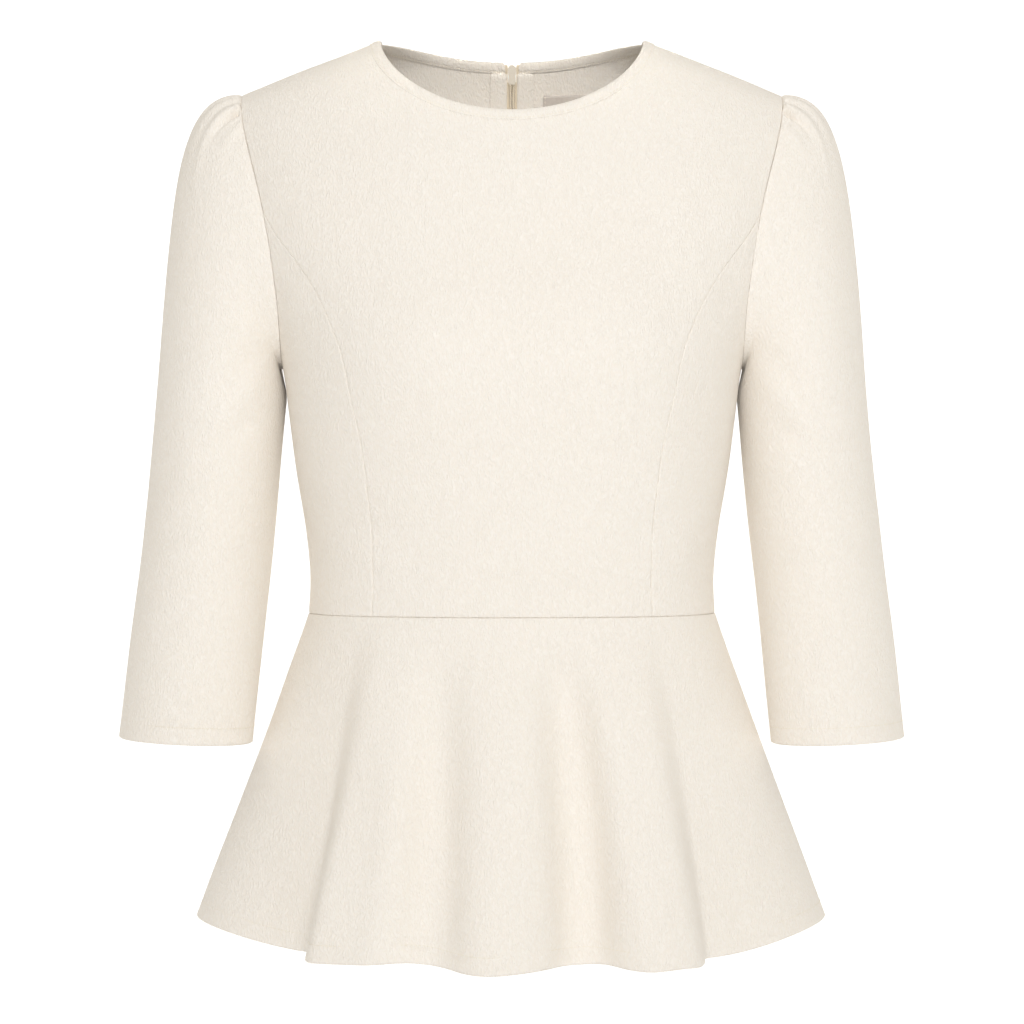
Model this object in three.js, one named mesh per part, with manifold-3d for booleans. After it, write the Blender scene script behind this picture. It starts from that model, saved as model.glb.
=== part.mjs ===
// A peplum top in heavy crepe, in the form that it has when it is worn, with nobody in it.
// Millimetres. x runs to the wearer's left, y to the back and z up. The origin lies in the
// middle of the neck opening, level with the neck ends of the shoulder seams.
import * as THREE from "three";
import Module from "manifold-3d";

// Cloth and making
const cloth = 1.4; // thickness of one layer
const seamGap = 0.3; // between two pieces that are sewn together
const hemDepth = 11; // turned up at the cuffs and at the lower edge
const hemCloth = 2.4; // thickness where the hem is turned up
const hemStep = 0.97; // share of the hem's depth over which it has its whole thickness
const closeTo = 0.5; // between two pieces that lie on each other

// Neck
const neckHalf = 91; // half the width of the opening at the shoulder seams
const neckFront = 58; // depth of the opening at centre front
const neckBack = 3.5; // and at centre back
const neckRise = { height: 5, narrow: 1.6 }; // of the back edge between the zip and the shoulder seams
const neckFan = 0.6; // how much deeper each line round the neck is than the one inside it
const neckCurve = 1.1; // how square the opening is, from 1, an ellipse
const binding = 7.2; // width of the neck binding
const bindingProud = 0.6; // how far it stands out from the panels, inside and outside
const bindingEdge = 0.5; // half the thickness of its top edge

// Shoulders and armholes
const shoulderHalf = 188.5; // from the middle to the top of the armhole seam
const shoulderDrop = 37; // from the neck end of the shoulder seam to its outer end
const neckRound = 40; // how gently the shoulder line turns up into the neck
const underarm = -228; // height of the bottom of the armhole
const armholeSquare = 2.4; // how square the bottom of the armhole is, from 2, an ellipse
const cutIn = { front: 10, back: 4 }; // degrees by which it curves in between top and bottom

// Bodice
const squareness = 0.045; // how much fuller than an ellipse a level section is
const bust = { side: 74, height: -228, reach: 6, radius: 52 };
const princessTop = -125; // height where the princess seam leaves the armhole
const waist = -398;

// Level rings of the bodice, from the waist up. The depths are from the shoulder seam's plane,
// and lift is how far a ring takes part in the slope of the shoulders.
const rings = [
  { height: waist, front: 100, back: 82, halfWidth: 141.8, lift: 0 },
  { height: -372, front: 103, back: 82, halfWidth: 141, lift: 0 },
  { height: -340, front: 108, back: 86, halfWidth: 144, lift: 0 },
  { height: -300, front: 115, back: 92, halfWidth: 150.4, lift: 0 },
  { height: -262, front: 122, back: 97, halfWidth: 155.4, lift: 0 },
  { height: underarm, front: 126, back: 100, halfWidth: 160, lift: 0 },
  { height: -196, front: 121, back: 101, halfWidth: 169, lift: 0 },
  { height: -155, front: 108, back: 97, halfWidth: 184, lift: 0 },
  { height: -112, front: 93, back: 88, halfWidth: 196, lift: 0.2 },
  { height: -72, front: 78, back: 76, halfWidth: 203, lift: 0.5 },
  { height: -38, front: 64, back: 63, halfWidth: 206, lift: 0.8 },
  { height: -14, front: 47, back: 47, halfWidth: 207, lift: 0.96 },
  { height: -3, front: 26, back: 26, halfWidth: 207, lift: 1 },
  { height: 0, front: 0, back: 0, halfWidth: 207, lift: 1 },
];

// The front princess seam, from the armhole to the waist, as seen from the front
const princessSeam = [
  { height: -140, side: 160.5 },
  { height: -162, side: 144.3 },
  { height: -185, side: 129.5 },
  { height: -214, side: 116.3 },
  { height: -250, side: 107.6 },
  { height: -290, side: 99.4 },
  { height: -338, side: 94.3 },
  { height: waist, side: 94.2 },
];

// Level rings of a sleeve below the armhole, tilted up on the outer side
const sleeveTilt = 0.05;
const sleeveRings = [
  { height: -250, side: 203.4, back: 2, halfWidth: 45.2, halfDepth: 57 },
  { height: -300, side: 207.6, back: 0, halfWidth: 45.1, halfDepth: 55 },
  { height: -360, side: 213, back: -6, halfWidth: 45.3, halfDepth: 51 },
  { height: -420, side: 218.8, back: -16, halfWidth: 45.6, halfDepth: 47.5 },
  { height: -484, side: 224.3, back: -28, halfWidth: 45.8, halfDepth: 44.5 },
];
const capOutward = 0.32; // how far the cap first runs outward, as a share of its length
const capPuff = 0.04; // and away from the middle of the armhole, at its top
const capHang = 0.95; // and how straight it comes down into the sleeve

// Gathers at the top of a sleeve: along the armhole seam from the shoulder seam, to the front
// with a minus sign
const gathers = [
  { place: -47, ridge: 0.8, width: 4.5, length: 30 },
  { place: -30, ridge: 1.9, width: 4.5, length: 46 },
  { place: -19, ridge: 1.3, width: 4, length: 42 },
  { place: -8, ridge: 1.1, width: 4, length: 36 },
  { place: 3, ridge: 1.1, width: 4, length: 34 },
  { place: 14, ridge: 1.4, width: 4, length: 40 },
  { place: 26, ridge: 1.8, width: 4.5, length: 44 },
  { place: 41, ridge: 0.8, width: 4.5, length: 32 },
];

// The peplum's lower edge before its folds
const hemHalf = 216;
const hemFront = 148;
const hemBack = 146;
const flareStart = 1.03; // above 1 the flare starts gently below the waist
const foldStart = 1.15; // and so do the folds

// Its folds, round from the left side of the picture by way of the front: how far each ridge
// stands out from that edge, or each valley in, and how far the hem hangs below the waist
const folds = [
  { angle: -180, reach: -6, drop: 218 },
  { angle: -167, reach: 12, drop: 219 },
  { angle: -150, reach: -16, drop: 220 },
  { angle: -131, reach: 14, drop: 219 },
  { angle: -112, reach: -14, drop: 216 },
  { angle: -86, reach: 4, drop: 210 },
  { angle: -45, reach: -30, drop: 224 },
  { angle: -34.5, reach: 17, drop: 221 },
  { angle: -26, reach: 14, drop: 221 },
  { angle: -17, reach: 2, drop: 220 },
  { angle: -4, reach: 19, drop: 224.5 },
  { angle: 13.5, reach: -12, drop: 223 },
  { angle: 24, reach: 18, drop: 224.5 },
  { angle: 30.5, reach: 17, drop: 223.5 },
  { angle: 41, reach: -32, drop: 226 },
  { angle: 86, reach: 3, drop: 210 },
  { angle: 110, reach: -15, drop: 216 },
  { angle: 130, reach: 15, drop: 219 },
  { angle: 149, reach: -15, drop: 220 },
  { angle: 166, reach: 11, drop: 219 },
  { angle: 180, reach: -6, drop: 218 },
];

// Zip at centre back, and the label beside it
const zipOpenHalf = 5; // half the opening at the neck, where the slider lies
const zipOpenDepth = 15; // how far down the edges take to meet
const zipEnd = -466;
const tape = { side: 12, thick: 0.9, coil: 2.2, coilThick: 1.9 };
const slider = { top: -3.4, bottom: -17.4, halfWidth: 3.1, waistHalf: 2.2, thick: 2.4 };
const bridge = { halfWidth: 1, bar: 0.9, hole: 1.25 };
const pull = { length: 21, thick: 1, topHalf: 2.6, endHalf: 3.1, rail: 0.9, windowEnd: 4.6 };
const pivotHeight = -9;
const pivotProud = 1.9; // from the outside of the back panels to the pull's hinge
const lean = { above: 4, below: 16 }; // from the hinge to where the panels' slope is taken
const label = { inner: 23, outer: 77, top: -26, bottom: -44, thick: 0.8 };

// Steps along each edge. Pieces that are sewn together have the same steps.
const steps = {
  princess: 10,
  side: 6,
  gathered: 12,
  upperArmhole: 3,
  lowerArmhole: 6,
  backArmhole: 8,
  neckFront: 7,
  neckBack: 5,
  shoulder: 4,
  cap: 8,
  sleeve: 5,
  peplum: 7,
  foldSpan: 3,
  lowTape: 4,
};
const foldWidth = 16; // degrees for each further step between a ridge and a valley
const rowGap = 4; // least height of a tape's top row
const measureSteps = 240; // for lengths along a line
const turnNudge = 0.05; // degrees, and a share of the way up, to find a surface's slope
const upNudge = 0.0005;
const openRows = 5; // of a back, beside the zip's opening
const gatheredLength = 52; // of the armhole seam, on each side of the shoulder seam

const degree = Math.PI / 180;
const mix = (a, b, share) => a + (b - a) * share;
const ease = (share) => share * share * (3 - 2 * share);
const wave = (share) => 0.5 - 0.5 * Math.cos(Math.PI * share);
const flipped = (p) => new THREE.Vector3(-p.x, p.y, p.z);

// The value between low and high where a rising function reaches a goal
function solve(rising, goal, low, high) {
  for (let turn = 0; turn < 40; turn++) {
    const middle = (low + high) / 2;
    if (rising(middle) < goal) low = middle;
    else high = middle;
  }
  return (low + high) / 2;
}

// A smooth curve through b and c, with a and d beyond them
function between(a, b, c, d, share) {
  const slopes = ((c - a) * (1 - share) - (d - b) * share) / 2;
  return mix(b, c, ease(share)) + share * (1 - share) * slopes;
}

// The rows of a table, read at a share of the way down it
function readTable(rows, share, before, after) {
  const place = share * (rows.length - 1);
  const i = Math.min(Math.max(Math.floor(place), 0), rows.length - 2);
  const a = rows[i - 1] ?? before;
  const d = rows[i + 2] ?? after;
  const read = {};
  for (const name of Object.keys(rows[0])) {
    read[name] = between(a[name], rows[i][name], rows[i + 1][name], d[name], place - i);
  }
  return read;
}

// The row beyond the end of a table, straight on
function straightOn(last, next) {
  const row = {};
  for (const name of Object.keys(last)) row[name] = 2 * last[name] - next[name];
  return row;
}

const overShoulder = { ...rings.at(-2), front: -rings.at(-2).front, back: -rings.at(-2).back };
const underWaist = straightOn(rings[0], rings[1]);
const ringAt = (v) => readTable(rings, v, underWaist, overShoulder);

// The height of the shoulder line over a point at that side distance, rising into the neck
const lineRun = (side) => Math.hypot(side, neckRound) - neckRound;
const lineSlope = shoulderDrop / (lineRun(shoulderHalf) - lineRun(neckHalf));
const shoulderLine = (side) => lineSlope * (lineRun(neckHalf) - lineRun(side));

// A point of the bodice's outer face. theta goes round from centre front, and v from 0 at the
// waist to 1 at the shoulder seam.
function torso(theta, v) {
  const ring = ringAt(v);
  const sin = Math.sin(theta * degree);
  const cos = Math.cos(theta * degree);
  const full = 1 + squareness * (2 * sin * cos) ** 2;
  const x = ring.halfWidth * sin * full;
  const z = ring.height + ring.lift * shoulderLine(x);
  const fromBust = Math.hypot(Math.abs(x) - bust.side, z - bust.height) / bust.radius;
  const mound = Math.max(cos, 0) * bust.reach * Math.exp(-fromBust * fromBust);
  const y = -cos * full * (cos > 0 ? ring.front : ring.back) - mound;
  return new THREE.Vector3(x, y, z);
}

// A point and its outward normal on a surface of two parameters
function facing(surface, a, b, stepA, stepB) {
  const point = surface(a, b);
  const alongA = surface(a + stepA, b).sub(surface(a - stepA, b));
  const alongB = point.clone().sub(surface(a, b - stepB));
  return { point, normal: alongA.cross(alongB).normalize() };
}

const onTorso = ({ theta, v }) => facing(torso, theta, v, turnNudge, upNudge);

// The place on the bodice that is seen from the front, or from the back, at x and z
function seenAt(x, z, fromBack) {
  const v = solve((u) => {
    const ring = ringAt(u);
    return ring.height + ring.lift * shoulderLine(x);
  }, z, 0, 1);
  const ring = ringAt(v);
  const reach = (angle) => {
    const sin = Math.sin(angle * degree);
    return ring.halfWidth * sin * (1 + squareness * Math.sin(2 * angle * degree) ** 2);
  };
  const theta = solve(reach, Math.abs(x), 0, 90) * (x < 0 ? -1 : 1);
  return { theta: fromBack ? (x < 0 ? -180 : 180) - theta : theta, v };
}

const torsoHeight = (height) => solve((v) => ringAt(v).height, height, 0, 1);

// Places at even distances along a line on the bodice
function spaced(line, count) {
  const places = Array.from({ length: measureSteps + 1 }, (_, i) => line(i / measureSteps));
  const points = places.map((place) => torso(place.theta, place.v));
  const run = [0];
  for (let i = 1; i < points.length; i++) {
    run.push(run[i - 1] + points[i].distanceTo(points[i - 1]));
  }
  return Array.from({ length: count + 1 }, (_, k) => {
    const goal = (run.at(-1) * k) / count;
    const i = Math.max(1, run.findIndex((length) => length >= goal - 1e-9));
    const share = (goal - run[i - 1]) / (run[i] - run[i - 1]);
    return {
      theta: mix(places[i - 1].theta, places[i].theta, share),
      v: mix(places[i - 1].v, places[i].v, share),
    };
  });
}

// The armhole on the wearer's left, from the shoulder seam down the front or the back
const tipAngle = seenAt(shoulderHalf, shoulderLine(shoulderHalf), false).theta;
function armholeLine(down, sign) {
  const round = 2 / armholeSquare;
  const angle = (down * Math.PI) / 2;
  const curve = (sign > 0 ? cutIn.back : cutIn.front) * Math.sin(2 * angle);
  const spread = (90 - tipAngle + curve) * Math.cos(angle) ** round;
  const v = torsoHeight(underarm * Math.sin(angle) ** round);
  return { theta: 90 + sign * spread, v };
}

const lineLength = (places) =>
  places.slice(1).reduce((sum, place, i) => {
    const last = places[i];
    return sum + torso(place.theta, place.v).distanceTo(torso(last.theta, last.v));
  }, 0);

// One side of the armhole in even steps, closer where the sleeve is gathered
function armholePlaces(sign, marks) {
  const fine = spaced((u) => armholeLine(u, sign), measureSteps);
  const whole = lineLength(fine);
  const at = (share) => {
    const place = share * measureSteps;
    const i = Math.min(Math.floor(place), measureSteps - 1);
    return {
      theta: mix(fine[i].theta, fine[i + 1].theta, place - i),
      v: mix(fine[i].v, fine[i + 1].v, place - i),
    };
  };
  const shares = [0];
  let from = 0;
  for (const { to, count } of marks(whole, at)) {
    for (let k = 1; k <= count; k++) shares.push(mix(from, to, k / count));
    from = to;
  }
  return shares.map(at);
}

const frontArmhole = armholePlaces(-1, (whole, at) => {
  const gathered = gatheredLength / whole;
  const junction = solve((share) => -torso(at(share).theta, at(share).v).z, -princessTop, 0, 1);
  return [
    { to: gathered, count: steps.gathered },
    { to: junction, count: steps.upperArmhole },
    { to: 1, count: steps.lowerArmhole },
  ];
});
const backArmhole = armholePlaces(1, (whole) => [
  { to: gatheredLength / whole, count: steps.gathered },
  { to: 1, count: steps.backArmhole },
]);
const junctionStep = steps.gathered + steps.upperArmhole;

// The neck edge as seen from the front or the back, drop below the shoulder seams' ends.
// wider moves it out from the opening.
function neckLine(share, fromBack, wider) {
  const angle = (share * Math.PI) / 2;
  const depth = (fromBack ? neckBack : neckFront) + wider * neckFan;
  const swell = Math.sin(2 * angle) ** neckRise.narrow * Math.sin(angle);
  const rise = fromBack ? neckRise.height * swell : 0;
  const x = (neckHalf + wider) * Math.sin(angle);
  const z = shoulderLine(neckHalf + wider) + rise - depth * Math.cos(angle) ** neckCurve;
  return seenAt(x, Math.min(z, shoulderLine(x)), fromBack);
}

// At the back the neck edge stops where the zip opens
function backNeckLine(share, wider) {
  const start = (2 / Math.PI) * Math.asin(zipOpenHalf / (neckHalf + wider));
  return neckLine(mix(start, 1, share), true, wider);
}

const neckFrontPlaces = (wider) => spaced((u) => neckLine(u, false, wider), steps.neckFront);
const neckBackPlaces = (wider) => spaced((u) => backNeckLine(u, wider), steps.neckBack);
const shoulderPlaces = spaced((u) => {
  const side = mix(neckHalf + binding, shoulderHalf, u);
  return { theta: seenAt(side, shoulderLine(side), false).theta, v: 1 };
}, steps.shoulder);

// The princess seam, from the waist up to the armhole
const princessPlaces = (() => {
  const junction = frontArmhole[junctionStep];
  const seam = princessSeam.map(({ height, side }) => seenAt(side, height, false));
  const rows = [junction, ...seam].reverse();
  const before = straightOn(rows[0], rows[1]);
  const after = straightOn(rows.at(-1), rows.at(-2));
  return spaced((u) => readTable(rows, u, before, after), steps.princess);
})();

// Fills a piece of the bodice from its four edges. bottom and top run the same way, and so do
// left and right.
function fill(bottom, top, left, right) {
  const blend = (name, a, b, i, j) =>
    mix(bottom[i][name], top[i][name], b) +
    mix(left[j][name], right[j][name], a) -
    mix(
      mix(bottom[0][name], bottom.at(-1)[name], a),
      mix(top[0][name], top.at(-1)[name], a),
      b,
    );
  return left.map((_, j) =>
    bottom.map((__, i) => {
      const a = i / (bottom.length - 1);
      const b = j / (left.length - 1);
      return { theta: blend("theta", a, b, i, j), v: blend("v", a, b, i, j) };
    }),
  );
}

// A straight line on the bodice whose steps half follow those of the edge across from it
function follow(from, to, edge, name) {
  const first = edge[0][name];
  const whole = edge.at(-1)[name] - first;
  return edge.map((place, i) => {
    const share = ((place[name] - first) / whole + i / (edge.length - 1)) / 2;
    return { theta: mix(from.theta, to.theta, share), v: mix(from.v, to.v, share) };
  });
}

const straight = (from, to, count) => spaced((u) => ({
  theta: mix(from.theta, to.theta, u),
  v: mix(from.v, to.v, u),
}), count);
const asBack = (places) => places.map(({ theta, v }) => ({ theta: 180 - theta, v }));
const joined = (first, second) => [...first, ...second.slice(1)];

// Half of the centre front, on the wearer's left: the neck edge and the shoulder seam are its
// top, and the princess seam and the upper armhole its side.
function frontHalf() {
  const top = joined(neckFrontPlaces(binding), shoulderPlaces);
  const side = joined(princessPlaces, frontArmhole.slice(0, junctionStep + 1).reverse());
  const bottom = follow({ theta: 0, v: 0 }, side[0], top, "theta");
  const centre = follow({ theta: 0, v: 0 }, top[0], side, "v");
  return fill(bottom, top, centre, side).map((row) => row.map(onTorso));
}

function sideFront() {
  const top = frontArmhole.slice(junctionStep);
  const bottom = straight(princessPlaces[0], { theta: 90, v: 0 }, top.length - 1);
  const side = straight({ theta: 90, v: 0 }, top.at(-1), steps.princess);
  return fill(bottom, top, princessPlaces, side).map((row) => row.map(onTorso));
}

// A back, from the side seam and the armhole to the zip
function back() {
  const centreTop = neckBackPlaces(binding)[0];
  const meet = torso(centreTop.theta, centreTop.v).z - zipOpenDepth;
  const low = { theta: 90, v: 0 };
  const side = joined(
    straight(low, backArmhole.at(-1), steps.side),
    [...backArmhole].reverse(),
  );
  const sideLow = side.slice(0, -openRows);
  const centreLow = follow({ theta: 180, v: 0 }, seenAt(0, meet, true), sideLow, "v");
  const centreOpen = spaced((u) => {
    const z = mix(meet, meet + zipOpenDepth, u);
    return seenAt(zipOpenHalf * ease(u), z, true);
  }, openRows);
  const top = joined(asBack(shoulderPlaces).reverse(), [...neckBackPlaces(binding)].reverse());
  const bottom = follow(low, { theta: 180, v: 0 }, top, "theta");
  return fill(bottom, top, side, joined(centreLow, centreOpen)).map((row) => row.map(onTorso));
}

const backRows = back();

// The mirror image of a grid of points, for the wearer's right
const mirrored = (grid) =>
  grid.map((row) =>
    [...row].reverse().map(({ point, normal }) => ({
      point: flipped(point),
      normal: flipped(normal),
    })),
  );

// Draws the named edges of a grid in by half the gap that a seam has
function trimmed(grid, edges, gap = seamGap) {
  const rows = grid.length - 1;
  const columns = grid[0].length - 1;
  const sides = {
    bottom: { at: (i, j) => j === 0, along: [1, 0] },
    top: { at: (i, j) => j === rows, along: [-1, 0] },
    left: { at: (i, j) => i === 0, along: [0, -1] },
    right: { at: (i, j) => i === columns, along: [0, 1] },
  };
  const clampTo = (k, most) => Math.min(Math.max(k, 0), most);
  const point = (i, j) => grid[clampTo(j, rows)][clampTo(i, columns)].point;
  return grid.map((row, j) =>
    row.map((cell, i) => {
      const moved = cell.point.clone();
      for (const name of edges) {
        const { at, along } = sides[name];
        if (!at(i, j)) continue;
        const ahead = point(i + along[0], j + along[1]);
        const behind = point(i - along[0], j - along[1]);
        const inward = cell.normal.clone().cross(ahead.clone().sub(behind)).normalize();
        moved.addScaledVector(inward, gap / 2);
      }
      return { point: moved, normal: cell.normal };
    }),
  );
}

// A closed wall on a grid of points, between two faces at these distances along the normals
function wall(grid, { closed = false, outside = () => 0, inside = () => -cloth } = {}) {
  const rows = grid.length;
  const columns = grid[0].length;
  const positions = [];
  for (const offset of [outside, inside]) {
    grid.forEach((row, j) =>
      row.forEach(({ point, normal }, i) => {
        const p = point.clone().addScaledVector(normal, offset(i, j));
        positions.push(p.x, p.y, p.z);
      }),
    );
  }
  const at = (layer, i, j) => (layer * rows + j) * columns + (i % columns);
  const index = [];
  const corner = (k) => new THREE.Vector3().fromArray(positions, 3 * k);
  const across = (a, c) => corner(a).distanceTo(corner(c));
  const quad = (a, b, c, d) =>
    across(a, c) < across(b, d) ? index.push(a, b, c, a, c, d) : index.push(a, b, d, b, c, d);
  const spans = closed ? columns : columns - 1;
  for (let i = 0; i < spans; i++) {
    for (let j = 0; j < rows - 1; j++) {
      quad(at(0, i, j), at(0, i + 1, j), at(0, i + 1, j + 1), at(0, i, j + 1));
      quad(at(1, i, j), at(1, i, j + 1), at(1, i + 1, j + 1), at(1, i + 1, j));
    }
    const last = rows - 1;
    quad(at(0, i, 0), at(1, i, 0), at(1, i + 1, 0), at(0, i + 1, 0));
    quad(at(0, i, last), at(0, i + 1, last), at(1, i + 1, last), at(1, i, last));
  }
  for (let j = 0; j < rows - 1 && !closed; j++) {
    const last = columns - 1;
    quad(at(0, 0, j), at(0, 0, j + 1), at(1, 0, j + 1), at(1, 0, j));
    quad(at(0, last, j), at(1, last, j), at(1, last, j + 1), at(0, last, j + 1));
  }
  const geometry = new THREE.BufferGeometry();
  geometry.setAttribute("position", new THREE.Float32BufferAttribute(positions, 3));
  geometry.setIndex(index);
  geometry.computeVertexNormals();
  return geometry;
}

// Sleeves

// The armhole seam as one ring: down the front from the shoulder seam and up the back
const armholeRing = [...frontArmhole, ...backArmhole.slice(1, -1).reverse()].map(onTorso);
const armholeMiddle = armholeRing
  .reduce((sum, { point }) => sum.add(point), new THREE.Vector3())
  .divideScalar(armholeRing.length);

// How far round the arm each point of that ring is, and how far from the shoulder seam
const armholeRun = armholeRing.reduce((run, { point }, i) => {
  const last = armholeRing[i - 1];
  return [...run, i ? run[i - 1] + point.distanceTo(last.point) : 0];
}, []);
const armholeLength = armholeRun.at(-1) + armholeRing.at(-1).point.distanceTo(armholeRing[0].point);

const sleeveAbove = straightOn(sleeveRings[0], sleeveRings[1]);
const sleeveBelow = straightOn(sleeveRings.at(-1), sleeveRings.at(-2));

// A point of the sleeve below the cap. angle is 0 on the outer side and 90 degrees in front.
function sleeveTube(angle, share) {
  const ring = readTable(sleeveRings, share, sleeveAbove, sleeveBelow);
  const out = ring.halfWidth * Math.cos(angle * degree);
  return new THREE.Vector3(
    ring.side + out,
    ring.back - ring.halfDepth * Math.sin(angle * degree),
    ring.height + out * sleeveTilt,
  );
}

// A point of the cap, from the armhole seam at 0 to the first ring of the tube at 1
function sleeveCap(k, share) {
  const { point: start } = armholeRing[k];
  const angle = (360 * armholeRun[k]) / armholeLength;
  const end = sleeveTube(angle, 0);
  const length = end.distanceTo(start);
  const away = start.clone().sub(armholeMiddle).setX(0).normalize();
  const puff = capPuff * (0.5 + 0.5 * Math.cos(angle * degree));
  const leave = new THREE.Vector3(capOutward, 0, 0).addScaledVector(away, puff);
  const arrive = sleeveTube(angle, 0.05).sub(end).normalize().multiplyScalar(capHang);
  const axis = (name) => {
    const s = share;
    const slopeIn = leave[name] * length * 2 * s * (1 - s) * (1 - s);
    const slopeOut = arrive[name] * length * 2 * s * s * (1 - s);
    return mix(start[name], end[name], ease(s)) + slopeIn - slopeOut;
  };
  return new THREE.Vector3(axis("x"), axis("y"), axis("z"));
}

// How far the gathers lift the cloth there
function gatherLift(k, down) {
  const run = armholeRun[k];
  const place = run < armholeLength / 2 ? -run : armholeLength - run;
  return gathers.reduce((sum, row) => {
    const off = (place - row.place) / row.width;
    const fade = Math.max(0, 1 - down / row.length) ** 1.5;
    return sum + row.ridge * fade * Math.exp(-off * off);
  }, 0);
}

// Outward normals of a grid that is closed round
function withNormals(points) {
  const columns = points[0].length;
  return points.map((row, j) =>
    row.map((point, i) => {
      const aheadRow = points[Math.min(j + 1, points.length - 1)];
      const behindRow = points[Math.max(j - 1, 0)];
      const along = row[(i + 1) % columns].clone().sub(row[(i - 1 + columns) % columns]);
      const down = aheadRow[i].clone().sub(behindRow[i]);
      return { point, normal: along.cross(down).normalize() };
    }),
  );
}

// The sleeve on the wearer's left, in rows from the armhole to the cuff
function sleeveGrid() {
  const hemShare = hemDepth / (sleeveRings[0].height - sleeveRings.at(-1).height);
  const columns = armholeRing.map((_, k) => {
    const angle = (360 * armholeRun[k]) / armholeLength;
    const column = [];
    for (let j = 0; j <= steps.cap; j++) column.push(sleeveCap(k, j / steps.cap));
    for (let j = 1; j <= steps.sleeve; j++) {
      column.push(sleeveTube(angle, (j / steps.sleeve) * (1 - hemShare)));
    }
    column.push(sleeveTube(angle, 1 - hemShare * hemStep), sleeveTube(angle, 1));
    return column;
  });
  const plain = withNormals(columns[0].map((_, j) => columns.map((column) => column[j])));
  return plain.map((row, j) =>
    row.map(({ point, normal }, k) => {
      const down = point.distanceTo(plain[0][k].point);
      const lift = j ? gatherLift(k, down) : 0;
      return { point: point.clone().addScaledVector(normal, lift), normal };
    }),
  );
}

// Peplum

// The fold table between two of its rows
function foldAt(theta) {
  const i = Math.max(1, folds.findIndex(({ angle }) => angle >= theta));
  const from = folds[i - 1];
  const to = folds[i];
  const share = wave((theta - from.angle) / (to.angle - from.angle));
  return { reach: mix(from.reach, to.reach, share), drop: mix(from.drop, to.drop, share) };
}

// A point of the peplum's outer face, with down from 0 at the waist seam to 1 at the hem
function peplum(theta, down) {
  const turned = ((theta + 540) % 360) - 180;
  const sin = Math.sin(turned * degree);
  const cos = Math.cos(turned * degree);
  const depth = cos > 0 ? hemFront : hemBack;
  const { reach, drop } = foldAt(turned);
  const out = new THREE.Vector3(sin / hemHalf, -cos / depth, 0).normalize();
  const start = torso(turned, 0);
  const flare = down ** flareStart;
  const fold = reach * Math.max(down, 0) ** foldStart;
  return new THREE.Vector3(
    mix(start.x, hemHalf * sin, flare) + out.x * fold,
    mix(start.y, -depth * cos, flare) + out.y * fold,
    waist - drop * down,
  );
}

const upPeplum = (theta, up) => peplum(theta, Math.max(0, 1 - up));
const peplumRows = (() => {
  const share = hemDepth / folds[0].drop;
  const rows = [0, share * hemStep];
  for (let j = 0; j <= steps.peplum; j++) rows.push(mix(share, 1, j / steps.peplum));
  return rows;
})();

// A piece of the peplum between two side distances, with steps on every ridge and valley
function peplumGrid(from, to) {
  const marks = [from, ...folds.map(({ angle }) => angle), to].filter(
    (angle, i, all) => angle >= from && angle <= to && all.indexOf(angle) === i,
  );
  const angles = [marks[0]];
  for (let i = 1; i < marks.length; i++) {
    const count = steps.foldSpan + Math.round((marks[i] - marks[i - 1]) / foldWidth) - 1;
    for (let k = 1; k <= count; k++) angles.push(mix(marks[i - 1], marks[i], k / count));
  }
  return peplumRows.map((up) =>
    angles.map((theta) => facing(upPeplum, theta, up, turnNudge, upNudge)),
  );
}

const hemWall = (hemRows) => (i, j) => (hemRows(j) ? -hemCloth : -cloth);

// Rows of the neck binding: the share of its width, and how far the row draws in to round the
// top edge
const bindingRows = [
  { share: 0, round: 0 },
  { share: 0.35, round: 0 },
  { share: 0.7, round: 0 },
  { share: 0.92, round: 0.3 },
  { share: 1, round: 1 },
];

// The binding goes round from the zip by way of the wearer's right shoulder, the front and the
// left shoulder.
function bindingGrid() {
  const half = (wider) => {
    const front = neckFrontPlaces(wider).map(onTorso);
    const rear = neckBackPlaces(wider).map(onTorso).reverse();
    return [...front, ...rear.slice(1)];
  };
  const whole = (wider) => {
    const left = half(wider);
    const right = [...left].reverse().map(({ point, normal }) => ({
      point: flipped(point),
      normal: flipped(normal),
    }));
    return [...right, ...left.slice(1)];
  };
  const low = whole(binding);
  const high = whole(0);
  return bindingRows.map(({ share }) =>
    low.map(({ point, normal }, i) => ({
      point: point.clone().lerp(high[i].point, share),
      normal: normal.clone().lerp(high[i].normal, share).normalize(),
    })),
  );
}

// Zip

// The outer face at centre back, at a side distance, from the neck to the end of the zip
function backFace(side, height) {
  if (height >= waist) return onTorso(seenAt(side, height, true));
  const low = peplum(180, 1).z;
  const down = (waist - height) / (waist - low);
  const theta = 180 - solve((angle) => peplum(180 - angle, down).x, side, 0, 40);
  return facing(upPeplum, theta, 1 - down, turnNudge, upNudge);
}

// A tape's rows lie level with those of the back that it is sewn to
function tapeGrid() {
  const top = slider.bottom - closeTo;
  const heights = [];
  for (let k = 0; k <= steps.lowTape; k++) {
    heights.push(mix(zipEnd, waist - 1, k / steps.lowTape));
  }
  heights.push(waist + 1);
  for (const row of backRows.slice(1)) {
    const height = row.at(-1).point.z;
    if (height < top - rowGap) heights.push(height);
  }
  heights.push(top);
  const sides = [tape.side, tape.coil + 0.2, tape.coil, closeTo / 2];
  return heights.map((height) => sides.map((side) => backFace(side, height)));
}

const tapeOutside = () => -cloth - closeTo;
const tapeInside = (i) => tapeOutside() - (i < 2 ? tape.thick : tape.coilThick);

function labelGrid() {
  const across = 6;
  const up = 2;
  return Array.from({ length: up + 1 }, (_, j) =>
    Array.from({ length: across + 1 }, (__, i) => {
      const side = mix(label.outer, label.inner, i / across);
      const height = mix(label.bottom, label.top, j / up);
      return onTorso(seenAt(side, height, true));
    }),
  );
}

const wasm = await Module();
wasm.setup();

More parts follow.
